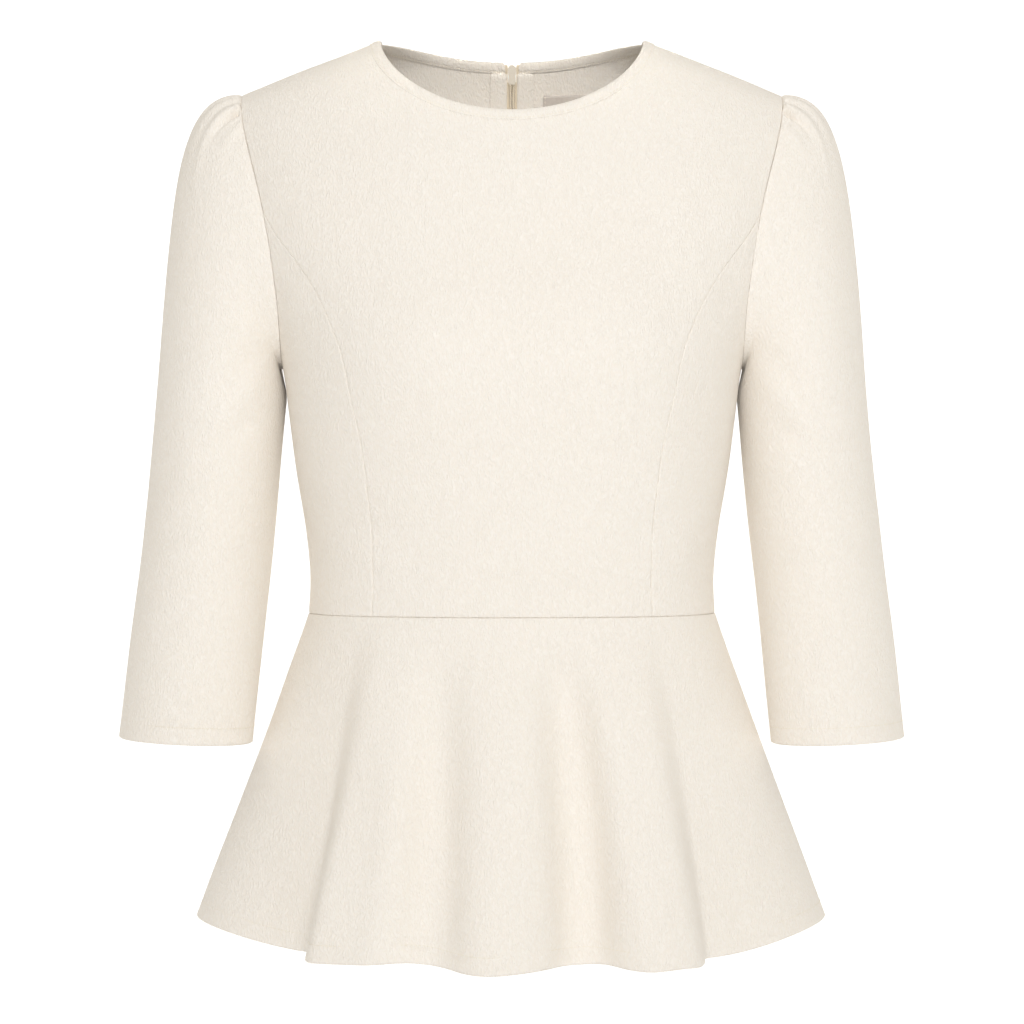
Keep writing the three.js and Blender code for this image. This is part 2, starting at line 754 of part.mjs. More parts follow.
// The mesh of a finished solid
function geometryOf(solid) {
  const mesh = solid.getMesh();
  const geometry = new THREE.BufferGeometry();
  geometry.setAttribute("position", new THREE.Float32BufferAttribute(mesh.vertProperties, 3));
  geometry.setIndex(new THREE.Uint32BufferAttribute(mesh.triVerts, 1));
  geometry.computeVertexNormals();
  return geometry;
}

// Points on an arc about a centre, between two angles in degrees
function arc([a, b], radius, from, to, count = 12) {
  return Array.from({ length: count + 1 }, (_, i) => {
    const angle = mix(from, to, i / count) * degree;
    return [a + radius * Math.cos(angle), b + radius * Math.sin(angle)];
  });
}

// A plate with its outlines in x and z, between two distances in y
function plate(outlines, near, far) {
  const solid = wasm.Manifold.extrude(outlines, far - near);
  return solid.rotate([90, 0, 0]).translate([0, far, 0]);
}

// The slider, in a frame at the pull's hinge whose z axis runs up the back panels
function sliderSolid() {
  const top = slider.top - pivotHeight;
  const bottom = slider.bottom - pivotHeight;
  const face = -pivotProud - cloth - closeTo;
  const outline = [
    [-slider.waistHalf, bottom],
    [slider.waistHalf, bottom],
    ...arc([0, top - slider.halfWidth], slider.halfWidth, 0, 180),
  ];
  const body = plate([outline], face - slider.thick, face);
  const reach = bridge.hole + bridge.bar;
  const arch = [[face - 0.5, reach], [face - 0.5, -reach], ...arc([0, 0], reach, -90, 90)];
  const eye = arc([0, 0], bridge.hole, 360, 0, 16).slice(1);
  const loop = wasm.Manifold.extrude([arch, eye], 2 * bridge.halfWidth)
    .rotate([90, 0, 90])
    .translate([-bridge.halfWidth, 0, 0]);
  return body.add(loop);
}

// The pull tab: its top rail lies in the slider's bridge, and it widens towards its end
function pullSolid() {
  const rail = pull.rail / 2;
  const windowHalf = pull.topHalf - pull.rail;
  const outline = [
    [-pull.topHalf, rail],
    ...arc([0, pull.endHalf - pull.length], pull.endHalf, 180, 360),
    [pull.topHalf, rail],
  ];
  const opening = [
    [-windowHalf, -rail],
    [windowHalf, -rail],
    [windowHalf, -pull.windowEnd],
    [-windowHalf, -pull.windowEnd],
  ];
  return plate([outline, opening], -pull.thick / 2, pull.thick / 2);
}

// Materials
const crepe = new THREE.MeshStandardMaterial({ color: 0xf3ebdd, roughness: 0.85 });
const crepeTrim = new THREE.MeshStandardMaterial({ color: 0xefe6d6, roughness: 0.8 });
const tapeCloth = new THREE.MeshStandardMaterial({ color: 0xdfd2bd, roughness: 0.9 });
const enamel = new THREE.MeshStandardMaterial({ color: 0xd9cfc2, roughness: 0.35 });
const satin = new THREE.MeshStandardMaterial({ color: 0xd8cfc6, roughness: 0.45 });

const top = new THREE.Group();
function add(name, geometry, material, parent = top) {
  const mesh = new THREE.Mesh(geometry, material);
  mesh.name = name;
  parent.add(mesh);
}

// Both sides of a piece that is made on the wearer's left
function addPair(name, grid, edges, options, material = crepe) {
  const mirrorEdges = edges.map((edge) => ({ left: "right", right: "left" })[edge] ?? edge);
  add(`${name}_left`, wall(trimmed(grid, edges), options), material);
  const columns = grid[0].length - 1;
  const turned = { ...options };
  if (options?.inside) turned.inside = (i, j) => options.inside(columns - i, j);
  add(`${name}_right`, wall(trimmed(mirrored(grid), mirrorEdges), turned), material);
}

const allRound = ["bottom", "top", "left", "right"];
const half = frontHalf();
const wholeFront = half.map((row, j) => [...mirrored(half)[j], ...row.slice(1)]);
add("front", wall(trimmed(wholeFront, allRound)), crepe);
addPair("side_front", sideFront(), allRound);
addPair("back", backRows, allRound);

const sleeveRows = sleeveGrid();
const cuffWall = hemWall((j) => j >= sleeveRows.length - 2);
addPair("sleeve", sleeveRows, ["bottom"], { closed: true, inside: cuffWall });

const hemUpWall = hemWall((j) => j < 2);
add("peplum_front", wall(trimmed(peplumGrid(-90, 90), ["top", "left", "right"]), {
  inside: hemUpWall,
}), crepe);
addPair("peplum_back", peplumGrid(90, 180), ["top", "left", "right"], { inside: hemUpWall });

const bindingHalf = cloth / 2 + bindingProud;
const bindingFace = (sign) => (i, j) =>
  -cloth / 2 + sign * mix(bindingHalf, bindingEdge, bindingRows[j].round);
add("neck_binding", wall(trimmed(bindingGrid(), ["bottom"]), {
  outside: bindingFace(1),
  inside: bindingFace(-1),
}), crepeTrim);

addPair("zip_tape", tapeGrid(), [], { outside: tapeOutside, inside: tapeInside }, tapeCloth);
add("label", wall(labelGrid(), {
  outside: () => -cloth - closeTo,
  inside: () => -cloth - closeTo - label.thick,
}), satin);

// The slider and its pull, turned to lie along the back panels
const atPivot = backFace(zipOpenHalf, pivotHeight);
const zipHead = new THREE.Group();
zipHead.position.set(0, atPivot.point.y + pivotProud, pivotHeight);
const above = backFace(zipOpenHalf, pivotHeight + lean.above).point;
const below = backFace(zipOpenHalf, pivotHeight - lean.below).point;
zipHead.rotation.x = Math.atan2(below.y - above.y, above.z - below.z);
top.add(zipHead);
add("zip_slider", geometryOf(sliderSolid()), enamel, zipHead);
add("zip_pull", geometryOf(pullSolid()), enamel, zipHead);

export default top;
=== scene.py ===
import math

import bpy
import numpy as np
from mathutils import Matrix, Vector


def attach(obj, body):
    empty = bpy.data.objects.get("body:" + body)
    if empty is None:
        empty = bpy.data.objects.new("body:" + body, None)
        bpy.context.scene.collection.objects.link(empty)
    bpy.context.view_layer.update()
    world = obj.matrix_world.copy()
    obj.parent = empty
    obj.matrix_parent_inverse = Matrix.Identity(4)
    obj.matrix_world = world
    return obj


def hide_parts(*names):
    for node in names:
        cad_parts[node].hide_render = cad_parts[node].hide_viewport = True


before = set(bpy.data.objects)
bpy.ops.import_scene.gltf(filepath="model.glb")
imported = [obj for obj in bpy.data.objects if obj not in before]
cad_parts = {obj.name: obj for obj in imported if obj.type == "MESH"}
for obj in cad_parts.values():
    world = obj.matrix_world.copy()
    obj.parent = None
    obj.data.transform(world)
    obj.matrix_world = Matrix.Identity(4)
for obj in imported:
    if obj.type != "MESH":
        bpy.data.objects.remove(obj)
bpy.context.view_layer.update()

# Looks of a peplum top in heavy crepe, in the form that it has when it is worn. Each piece of
# cloth is a fine closed shell on the form of its solid, with rolled seams, turned-up hems,
# gathers, soft creases and sewing. Sizes are in millimetres until a mesh is made.

MM = 0.001
SHARP = 60  # degrees over which an edge isn't shaded smooth
FLIP = np.array([-1, 1, 1])  # turns a point on the wearer's left into its mirror image
MEASURES = 241  # points by which a line is measured
LENGTH_MEASURES = 121  # and where only its length counts
PEPLUM_MEASURES = 1201
EASE_ROUNDS = 400
chance = np.random.default_rng(11)

# Cloth and making
CLOTH = 1.3  # thickness of one layer
HEM_CLOTH = 2.3  # and where the hem is turned up
HEM_DEPTH = 11
HEM_FADE = 0.7  # way over which the turned-up cloth ends
GROOVE = 0.12  # by which the hem's stitches draw the cloth in
GROOVE_HALF = 0.9
ALLOWANCE = 9  # width of the cloth that is turned in along a seam
ALLOWANCE_THICK = 0.8
ALLOWANCE_FADE = 0.8
ROLL = 1.3  # how far from a seam the cloth starts to turn in
ROLL_DEPTH = 0.85
CAP_ROLL = 0.3  # share of it at the cap of a sleeve
PUCKER = 0.16  # height of the small waves beside a seam
PUCKER_FADE = 5  # and how far from it they reach
PUCKER_START = 1.5
PUCKER_WAVES = np.array([[0.61, 0.43, 0.83], [0.29, -0.5, 0.37]])  # turns per millimetre
BODICE_DRIFT = 0.9  # height of the slow swell of the cloth
SLEEVE_DRIFT = 1.2
PEPLUM_DRIFT = 1.0
SLEEVE_FADE = 30  # how far from the seam the swell has its whole height
PEPLUM_FADE = 50
STEP = 2.8  # between two points of a piece
EDGE_STEPS = (0, 0.3, 0.7, 1.2, 2.0)  # closer to a seam
HEM_STEPS = (0, 0.7, 1.6)  # closer to the peplum's hem
TURN_STEP = 0.05  # degrees between two points that give a normal
RISE_STEP = 0.0005  # and the share of the height between them

# Neck
NECK_HALF = 91
NECK_FRONT = 58
NECK_BACK = 3.5
NECK_RISE = 5  # of the back edge between the zip and the shoulder seams
NECK_SWELL = 1.6  # how narrow that rise is
NECK_FAN = 0.6
NECK_CURVE = 1.1
BINDING = 7.2
BINDING_CLOTH = 0.55
BINDING_POINTS = 60  # from the centre front to a shoulder seam
BINDING_BEHIND = 72  # and on from there to the zip
BINDING_LAST = 8  # of these make way for closer ones beside the zip
BINDING_CLOSE = 14
END_ROUND = 2.6  # at the top corners of the binding, beside the zip

# The outer side of the binding: share of its height, lift off the bodice's outer face
BINDING_PROFILE = [
    (-0.07, -0.1),
    (-0.05, 0.24),
    (0, 0.48),
    (0.07, 0.54),
    (0.12, 0.38),
    (0.17, 0.58),
    (0.27, 0.8),
    (0.42, 0.86),
    (0.57, 0.8),
    (0.72, 0.66),
    (0.83, 0.46),
    (0.91, 0.12),
]
BINDING_SEWN = 0.12  # share of its height at which it is stitched down

# Shoulders and armholes
SHOULDER_HALF = 188.5
SHOULDER_DROP = 37
NECK_ROUND = 40
UNDERARM = -228
ARMHOLE_SQUARE = 2.4
CUT_IN_FRONT = 10
CUT_IN_BACK = 4

# Bodice
SQUARENESS = 0.045
BUST_SIDE = 74
BUST_HEIGHT = -228
BUST_REACH = 6
BUST_RADIUS = 52
PRINCESS_TOP = -125
WAIST = -398

# Level rings of the bodice: height, front, back, half width, share of the shoulder slope
RINGS = [
    (WAIST, 100, 82, 141.8, 0),
    (-372, 103, 82, 141, 0),
    (-340, 108, 86, 144, 0),
    (-300, 115, 92, 150.4, 0),
    (-262, 122, 97, 155.4, 0),
    (UNDERARM, 126, 100, 160, 0),
    (-196, 121, 101, 169, 0),
    (-155, 108, 97, 184, 0),
    (-112, 93, 88, 196, 0.2),
    (-72, 78, 76, 203, 0.5),
    (-38, 64, 63, 206, 0.8),
    (-14, 47, 47, 207, 0.96),
    (-3, 26, 26, 207, 1),
    (0, 0, 0, 207, 1),
]
OVER_SHOULDER = (-3, -26, -26, 207, 1)

# The front princess seam below the armhole, as seen from the front: height, side
PRINCESS_SEAM = [
    (-140, 160.5),
    (-162, 144.3),
    (-185, 129.5),
    (-214, 116.3),
    (-250, 107.6),
    (-290, 99.4),
    (-338, 94.3),
    (WAIST, 94.2),
]

# Level rings of a sleeve below its cap: height, side, back, half width, half depth
SLEEVE_TILT = 0.05
SLEEVE_RINGS = [
    (-250, 203.4, 2, 45.2, 57),
    (-300, 207.6, 0, 45.1, 55),
    (-360, 213, -6, 45.3, 51),
    (-420, 218.8, -16, 45.6, 47.5),
    (-484, 224.3, -28, 45.8, 44.5),
]
GATHERED = 58  # of the armhole, to each side of the shoulder seam
GATHER_STEP = 0.9
GATHER_FAN = 48  # how far down the sleeve the gathers are twice as far apart
GATHER_SPREAD = 42  # and twice as wide
GATHER_FADE = 1.4  # how fast they fade
GATHER_START = 2.5  # way from the seam in which they rise
CAP_OUTWARD = 0.32
CAP_PUFF = 0.04
CAP_HANG = 0.95
CAP_AIM = 0.05  # share of the tube that the cap hangs toward
CAP_LENGTH = 230  # of its longest row, at the underarm
CAP_ROWS = 78
TUBE_ROWS = 70
CUFF_SHARES = (0.988, 0.996, 1)  # last rows, closer at the cuff

# Gathers of a sleeve's cap: place along the seam from the shoulder, lift, half width, length
GATHERS = [
    (-50, -0.5, 3.6, 24),
    (-42, 0.8, 3.6, 40),
    (-35.5, -0.7, 2.4, 34),
    (-30, -6.0, 1.9, 28),
    (-25, 2.6, 2.8, 64),
    (-20, -1.0, 1.6, 40),
    (-15.5, 1.2, 2.2, 60),
    (-11.5, -1.3, 1.4, 50),
    (-7.5, 1.0, 1.8, 54),
    (-3.5, -1.2, 1.4, 46),
    (1, 1.0, 2.0, 40),
    (5.5, -1.2, 1.5, 42),
    (11, 1.2, 2.2, 46),
    (16, -1.6, 1.7, 40),
    (22, 2.0, 2.6, 58),
    (28, -4.4, 2.0, 32),
    (34, 1.0, 2.8, 40),
    (42, -0.7, 2.8, 28),
]

# The peplum
HEM_HALF = 216
HEM_FRONT = 148
HEM_BACK = 146
FLARE_START = 1.03
FOLD_START = 1.15

# Its folds, round from the left of the picture by way of the front: angle, reach, drop
FOLDS = [
    (-180, -6, 218),
    (-167, 12, 219),
    (-150, -16, 220),
    (-131, 14, 219),
    (-112, -14, 216),
    (-86, 4, 210),
    (-45, -30, 224),
    (-34.5, 17, 221),
    (-26, 14, 221),
    (-17, 2, 220),
    (-4, 19, 224.5),
    (13.5, -12, 223),
    (24, 18, 224.5),
    (30.5, 17, 223.5),
    (42, -24, 226),
    (86, 3, 210),
    (110, -15, 216),
    (130, 15, 219),
    (149, -15, 220),
    (166, 11, 219),
    (180, -6, 218),
]

# Zip. Its depths are below the outer face of the back
ZIP_OPEN_HALF = 5
ZIP_OPEN_DEPTH = 15
ZIP_END = -466
TAPE_SIDE = 12
TAPE_THICK = 0.5
TAPE_DEEP = CLOTH + 0.7
TAPE_SEWN = 6.2  # distance of its stitches from the centre
TAPE_TOP = -11
TAPE_END_SIDES = (5.7, 5.2, 4.6, 3.9, 3.25)
TAPE_END_TOP = -5.2
TAPE_END_DEEP = 0.4
COIL_SIDE = 2.2
COIL_PITCH = 1.15
COIL_HALF = 0.86
COIL_RIB = 0.2
COIL_DEEP = CLOTH + 1.75
SLIDER_BOTTOM = -17.4
SLIDER_HALF = 3.1
COIL_TOP = SLIDER_BOTTOM - 0.5
ENAMEL_EDGE = 0.28  # width of the softened edges of the slider and its pull

# The cloth that is turned in beside it
TURNING_SIDES = (15.6, 15.3, 14, 11, 8, 6, 5, 4.6, 4.3, 4.1, 4.0)
TURNING_DEEP = TAPE_DEEP + TAPE_THICK + 0.15
TURNING_THICK = 0.95
TURNING_ROLL = 0.9
TURNING_SEWN = 5
TURNING_ROWS = 150

# Label
LABEL_INNER = 23
LABEL_OUTER = 77
LABEL_TOP = -26
LABEL_BOTTOM = -44
LABEL_DEEP = CLOTH + 0.6
LABEL_THICK = 0.35
LABEL_FOLD = 6  # cloth folded under at each end
LABEL_BOW = 0.35
LABEL_SEWN = 1.2  # distance of its stitches from its ends

# Sewing
STITCH = 2.6
STITCH_GAP = 0.35
STITCH_SIDES = 6
STITCH_RINGS = 5
THREAD = 0.2  # half its thickness
NECK_THREAD = 0.22
INNER_THREAD = 0.28
LABEL_THREAD = 0.15
NECK_SEWN_OUT = 0.5  # height of the neck's stitches off the bodice's outer face
NECK_SEWN_IN = CLOTH + 0.52


def ease(share):
    """A share that starts and stops gently."""
    share = np.clip(share, 0, 1)
    return share * share * (3 - 2 * share)


def mix(a, b, share):
    return a + (b - a) * share


def sin_cos(degrees):
    angle = np.radians(degrees)
    return np.sin(angle), np.cos(angle)


def solve(rising, goal, low, high):
    """Where a rising function reaches each goal between low and high."""
    low = np.full(np.shape(goal), float(low))
    high = np.full(np.shape(goal), float(high))
    for _ in range(40):
        middle = (low + high) / 2
        under = rising(middle) < goal
        low = np.where(under, middle, low)
        high = np.where(under, high, middle)
    return (low + high) / 2


def with_ends(rows, after=None):
    """A table with a row more at both ends: straight on, or the one that is given for the last."""
    rows = np.array(rows, float)
    first = 2 * rows[0] - rows[1]
    last = 2 * rows[-1] - rows[-2] if after is None else after
    return np.vstack([first, rows, last])


def read(table, share):
    """The columns of a table at shares of the way down it, along smooth curves."""
    spans = len(table) - 3  # between the rows, without the added ones
    place = np.asarray(share, float) * spans
    i = np.clip(np.floor(place).astype(int), 0, spans - 1)
    t = (place - i)[..., None]
    a, b, c, d = (table[i + k] for k in range(4))
    bend = ((c - a) * (1 - t) - (d - b) * t) / 2
    values = b + (c - b) * t * t * (3 - 2 * t) + t * (1 - t) * bend
    return np.moveaxis(values, -1, 0)


# Form of the bodice

RING_TABLE = with_ends(RINGS, after=OVER_SHOULDER)


def line_run(side):
    return np.hypot(side, NECK_ROUND) - NECK_ROUND


LINE_SLOPE = SHOULDER_DROP / (line_run(SHOULDER_HALF) - line_run(NECK_HALF))


def shoulder_line(side):
    """The height of the shoulder line at a side distance, rising into the neck."""
    return LINE_SLOPE * (line_run(NECK_HALF) - line_run(side))


def torso(theta, v):
    """Points of the bodice's outer face: theta degrees round from centre front, and v from 0 at
    the waist to 1 at the shoulder seam."""
    height, front, back, half, lift = read(RING_TABLE, v)
    sin, cos = sin_cos(theta)
    full = 1 + SQUARENESS * (2 * sin * cos) ** 2
    x = half * sin * full
    z = height + lift * shoulder_line(x)
    from_bust = np.hypot(np.abs(x) - BUST_SIDE, z - BUST_HEIGHT) / BUST_RADIUS
    mound = np.maximum(cos, 0) * BUST_REACH * np.exp(-from_bust * from_bust)
    y = -cos * full * np.where(cos > 0, front, back) - mound
    return np.stack(np.broadcast_arrays(x, y, z), -1)


def facing(surface, a, b, step_a, step_b):
    """Points and outward normals on a surface of two parameters."""
    point = surface(a, b)
    normal = np.cross(
        surface(a + step_a, b) - surface(a - step_a, b),
        point - surface(a, b - step_b),
    )
    return point, normal / np.linalg.norm(normal, axis=-1, keepdims=True)


def on_torso(places):
    return facing(torso, places[..., 0], places[..., 1], TURN_STEP, RISE_STEP)


def seen_at(x, z, from_back):
    """Places on the bodice that are seen from the front or the back at x and z."""
    x, z = np.broadcast_arrays(np.asarray(x, float), np.asarray(z, float))

    def height(v):
        row = read(RING_TABLE, v)
        return row[0] + row[4] * shoulder_line(x)

    v = solve(height, z, 0, 1)
    half = read(RING_TABLE, v)[3]

    def reach(angle):
        sin, cos = sin_cos(angle)
        return half * sin * (1 + SQUARENESS * (2 * sin * cos) ** 2)

    theta = solve(reach, np.abs(x), 0, 90) * np.where(x < 0, -1, 1)
    if from_back:
        theta = np.where(x < 0, -180, 180) - theta
    return np.stack([theta, v], -1)


# Lines on the bodice, as places (theta, v) at shares of their way

TIP_ANGLE = float(seen_at(SHOULDER_HALF, shoulder_line(SHOULDER_HALF), False)[0])


def armhole_line(down, sign):
    """The armhole from the shoulder seam, down the front with sign -1 or the back with 1."""
    power = 2 / ARMHOLE_SQUARE
    angle = down * np.pi / 2
    cut_in = CUT_IN_BACK if sign > 0 else CUT_IN_FRONT
    spread = 90 - TIP_ANGLE + cut_in * np.sin(2 * angle)
    height = UNDERARM * np.sin(angle) ** power
    v = solve(lambda u: read(RING_TABLE, u)[0], height, 0, 1)
    cosine = np.maximum(np.cos(angle), 0) ** power
    return np.stack([90 + sign * spread * cosine, v], -1)


def neck_line(share, from_back, wider):
    """The neck edge from the centre to the shoulder seam, moved out from the opening."""
    start = 2 / np.pi * np.arcsin(ZIP_OPEN_HALF / (NECK_HALF + wider)) if from_back else 0
    angle = mix(start, 1, share) * np.pi / 2
    depth = (NECK_BACK if from_back else NECK_FRONT) + wider * NECK_FAN
    swell = np.clip(np.sin(2 * angle), 0, 1) ** NECK_SWELL * np.sin(angle)
    rise = NECK_RISE * swell if from_back else 0
    side = (NECK_HALF + wider) * np.sin(angle)
    cosine = np.maximum(np.cos(angle), 0) ** NECK_CURVE
    height = shoulder_line(NECK_HALF + wider) + rise - depth * cosine
    return seen_at(side, np.minimum(height, shoulder_line(side)), from_back)


def shoulder_seam(share):
    side = mix(NECK_HALF + BINDING, SHOULDER_HALF, share)
    theta = seen_at(side, shoulder_line(side), False)[..., 0]
    return np.stack([theta, np.ones_like(theta)], -1)


def straight(start, end):
    """A line on the bodice straight from one place to another."""
    start, end = np.array(start, float), np.array(end, float)
    return lambda share: start + (end - start) * np.asarray(share, float)[..., None]


def turned(line):
    return lambda share: line(1 - np.asarray(share, float))


def to_back(line):
    def mirrored_line(share):
        places = line(share)
        return np.stack([180 - places[..., 0], places[..., 1]], -1)

    return mirrored_line


def run_of(points, axis=0):
    """How far each point of a line, or of a grid along one axis, is from the first."""
    first = np.take(points, [0], axis)
    steps = np.linalg.norm(np.diff(points, axis=axis, prepend=first), axis=-1)
    return np.cumsum(steps, axis)


def measured(line, count=MEASURES):
    """Shares of the way along a line, its points there and how far each is from its start."""
    share = np.linspace(0, 1, count)
    places = line(share)
    points = torso(places[:, 0], places[:, 1])
    return share, points, run_of(points)


def evenly(line, shares):
    """A line's places at shares of its length."""
    share, _, run = measured(line)
    return line(np.interp(np.asarray(shares) * run[-1], run, share))


def length_of(line):
    return measured(line, LENGTH_MEASURES)[2][-1]


def part_of(line, start, end):
    return lambda share: evenly(line, mix(start, end, np.asarray(share, float)))


def front_armhole(share):
    return armhole_line(share, -1)


def back_armhole(share):
    return armhole_line(share, 1)


def armhole_share(height):
    """The share of the front armhole's length at which it comes down to a height."""
    _, points, run = measured(front_armhole)
    return float(np.interp(-height, -points[:, 2], run / run[-1]))


JUNCTION = armhole_share(PRINCESS_TOP)
ARMHOLE_ABOVE = part_of(front_armhole, 0, JUNCTION)
ARMHOLE_BELOW = part_of(front_armhole, JUNCTION, 1)


def princess_table():
    rows = [ARMHOLE_BELOW(np.array(0.0))]
    rows += [seen_at(side, height, False) for height, side in PRINCESS_SEAM]
    return with_ends(rows[::-1])


PRINCESS_TABLE = princess_table()


def princess_line(share):
    return np.moveaxis(read(PRINCESS_TABLE, share), 0, -1)


def spread_over(length, fine_start, fine_end):
    """Distances along an edge, closer at the ends that are sewn."""
    fine = np.array(EDGE_STEPS, float)
    low = fine[-1] if fine_start else 0
    high = length - fine[-1] if fine_end else length
    middle = np.linspace(low, high, max(3, round((high - low) / STEP) + 1))
    parts = [fine[:-1]] if fine_start else []
    parts.append(middle)
    if fine_end:
        parts.append(length - fine[-2::-1])
    return np.concatenate(parts)


def edge_of(lines, fine_start=True):
    """One edge of a piece, of one line or more: its places and their shares of its length."""
    places, runs, done = [], [], 0
    for i, line in enumerate(lines):
        length = length_of(line)
        at = spread_over(length, fine_start and i == 0, i == len(lines) - 1)
        if i:
            at = at[1:]
        places.append(evenly(line, at / length))
        runs.append(at + done)
        done += length
    return np.concatenate(places), np.concatenate(runs) / done


def fill(bottom, top, left, right, across, up):
    """A grid of places inside four edges. across and up are the shares along them."""
    a = across[None, :, None]
    b = up[:, None, None]
    corners = mix(mix(bottom[0], bottom[-1], a), mix(top[0], top[-1], a), b)
    return mix(bottom[None], top[None], b) + mix(left[:, None], right[:, None], a) - corners


def eased(places, across, up):
    """A grid of places whose inner points are drawn to their neighbours, so that no cell folds."""
    left, right = 1 / np.diff(across)[:-1], 1 / np.diff(across)[1:]
    low, high = 1 / np.diff(up)[:-1], 1 / np.diff(up)[1:]
    sideways = 2 / (across[2:] - across[:-2])
    upward = 2 / (up[2:] - up[:-2])
    left, right = (left * sideways)[None, :, None], (right * sideways)[None, :, None]
    low, high = (low * upward)[:, None, None], (high * upward)[:, None, None]
    whole = left + right + low + high
    for _ in range(EASE_ROUNDS):
        level = places[1:-1, :-2] * left + places[1:-1, 2:] * right
        places[1:-1, 1:-1] = (level + places[:-2, 1:-1] * low + places[2:, 1:-1] * high) / whole
    return places


def neck_edge(from_back, wider=BINDING):
    """Half of the neck edge: where the cloth is sewn to the binding, if nothing else is said."""
    return lambda share: neck_line(share, from_back, wider)


def front_places():
    """Half of the front, on the wearer's left, from the centre to the princess seam."""
    top, across = edge_of([neck_edge(False), shoulder_seam], fine_start=False)
    side, up = edge_of([princess_line, turned(ARMHOLE_ABOVE)])
    bottom = evenly(straight((0, 0), side[0]), across)
    centre = evenly(straight((0, 0), top[0]), up)
    return eased(fill(bottom, top, centre, side, across, up), across, up)


def side_front_places():
    princess, up = edge_of([princess_line])
    bottom, across = edge_of([straight(princess[0], (90, 0))])
    top = evenly(ARMHOLE_BELOW, across)
    side = evenly(straight((90, 0), top[-1]), up)
    return fill(bottom, top, princess, side, across, up)


def back_places():
    """A back, from the side seam and the armhole to the zip."""
    neck = neck_edge(True)
    meet = torso(*neck(np.array(0.0)))[2] - ZIP_OPEN_DEPTH
    under = back_armhole(np.array(1.0))
    side, up = edge_of([straight((90, 0), under), turned(back_armhole)])
    top, across = edge_of([turned(to_back(shoulder_seam)), turned(neck)])
    bottom = evenly(straight((90, 0), (180, 0)), across)

    def centre(share):
        height = mix(WAIST, meet + ZIP_OPEN_DEPTH, np.asarray(share, float))
        open_share = ease((height - meet) / ZIP_OPEN_DEPTH)
        return seen_at(ZIP_OPEN_HALF * open_share, height, True)

    return eased(fill(bottom, top, side, evenly(centre, up), across, up), across, up)


# Form of a sleeve

SLEEVE_TABLE = with_ends(SLEEVE_RINGS)


def sleeve_tube(angle, share):
    """Points of a sleeve below its cap: angle is 0 on the outer side and 90 in front."""
    height, side, back, half_width, half_depth = read(SLEEVE_TABLE, share)
    sin, cos = sin_cos(angle)
    out = half_width * cos
    across = back - half_depth * sin
    return np.stack(np.broadcast_arrays(side + out, across, height + out * SLEEVE_TILT), -1)


def armhole_ring():
    """Points of the armhole on the wearer's left, from the shoulder seam down the front, closer
    where the cap is gathered."""
    u = np.linspace(0, 1, 301)
    places = np.vstack([armhole_line(u, -1), armhole_line(1 - u[1:], 1)])
    points = torso(places[:, 0], places[:, 1])
    run = run_of(points)
    plain = round((run[-1] - 2 * GATHERED) / STEP)
    at = np.concatenate([
        np.arange(0, GATHERED, GATHER_STEP),
        np.linspace(GATHERED, run[-1] - GATHERED, plain),
        run[-1] - np.arange(GATHERED - GATHER_STEP, 0.1, -GATHER_STEP),
    ])
    ring = np.stack([np.interp(at, run, points[:, k]) for k in range(3)], -1)
    return ring, at, run[-1]


def sleeve_cap(start, angle, share):
    """Points of the cap, from the armhole seam at 0 to the top of the tube at 1."""
    end = sleeve_tube(angle, np.zeros_like(angle))
    length = np.linalg.norm(end - start, axis=-1, keepdims=True)
    away = start - start.mean(0)
    away[:, 0] = 0
    away /= np.linalg.norm(away, axis=-1, keepdims=True)
    puff = CAP_PUFF * (0.5 + 0.5 * sin_cos(angle)[1])[:, None]
    leave = np.array([CAP_OUTWARD, 0, 0]) + away * puff
    arrive = sleeve_tube(angle, np.full_like(angle, CAP_AIM)) - end
    arrive *= CAP_HANG / np.linalg.norm(arrive, axis=-1, keepdims=True)
    s = share[:, None, None]
    slope_in = leave * length * 2 * s * (1 - s) ** 2
    slope_out = arrive * length * 2 * s * s * (1 - s)
    return mix(start, end, ease(s)) + slope_in - slope_out


def gather_lift(place, down):
    """How far the gathers lift the cloth, by the place along the seam and the way down."""
    lift = np.zeros(np.broadcast_shapes(np.shape(place), np.shape(down)))
    for middle, height, width, length in GATHERS:
        off = (place - middle * (1 + down / GATHER_FAN)) / (width * (1 + down / GATHER_SPREAD))
        lift += height * np.clip(1 - down / length, 0, 1) ** GATHER_FADE * np.exp(-off * off)
    return lift * ease(down / GATHER_START)


def grid_normals(points, closed):
    """Outward normals of a grid of points, to the side where columns turn left round rows."""
    if closed:
        along = np.roll(points, -1, 1) - np.roll(points, 1, 1)
    else:
        along = np.gradient(points, axis=1)
    normal = np.cross(along, np.gradient(points, axis=0))
    return normal / np.linalg.norm(normal, axis=-1, keepdims=True)


def sleeve_points():
    """The sleeve on the wearer's left, in rows from the armhole to the cuff."""
    ring, at, around = armhole_ring()
    angle = 360 * at / around
    fine = np.array(EDGE_STEPS) / CAP_LENGTH
    cap = np.concatenate([fine[:-1], mix(fine[-1], 1, np.linspace(0, 1, CAP_ROWS) ** 1.3)])
    tube = np.concatenate([np.linspace(0, 1, TUBE_ROWS)[1:-1], CUFF_SHARES])
    rows = sleeve_cap(ring, angle, cap)
    lower = np.stack([sleeve_tube(angle, np.full_like(angle, s)) for s in tube])
    points = np.concatenate([rows, lower])
    down = run_of(points)
    place = np.where(at < around / 2, -at, around - at)
    points = points + grid_normals(points, True) * gather_lift(place, down)[..., None]
    return points, down


# Form of the peplum

FOLD_TABLE = np.array(FOLDS, float)


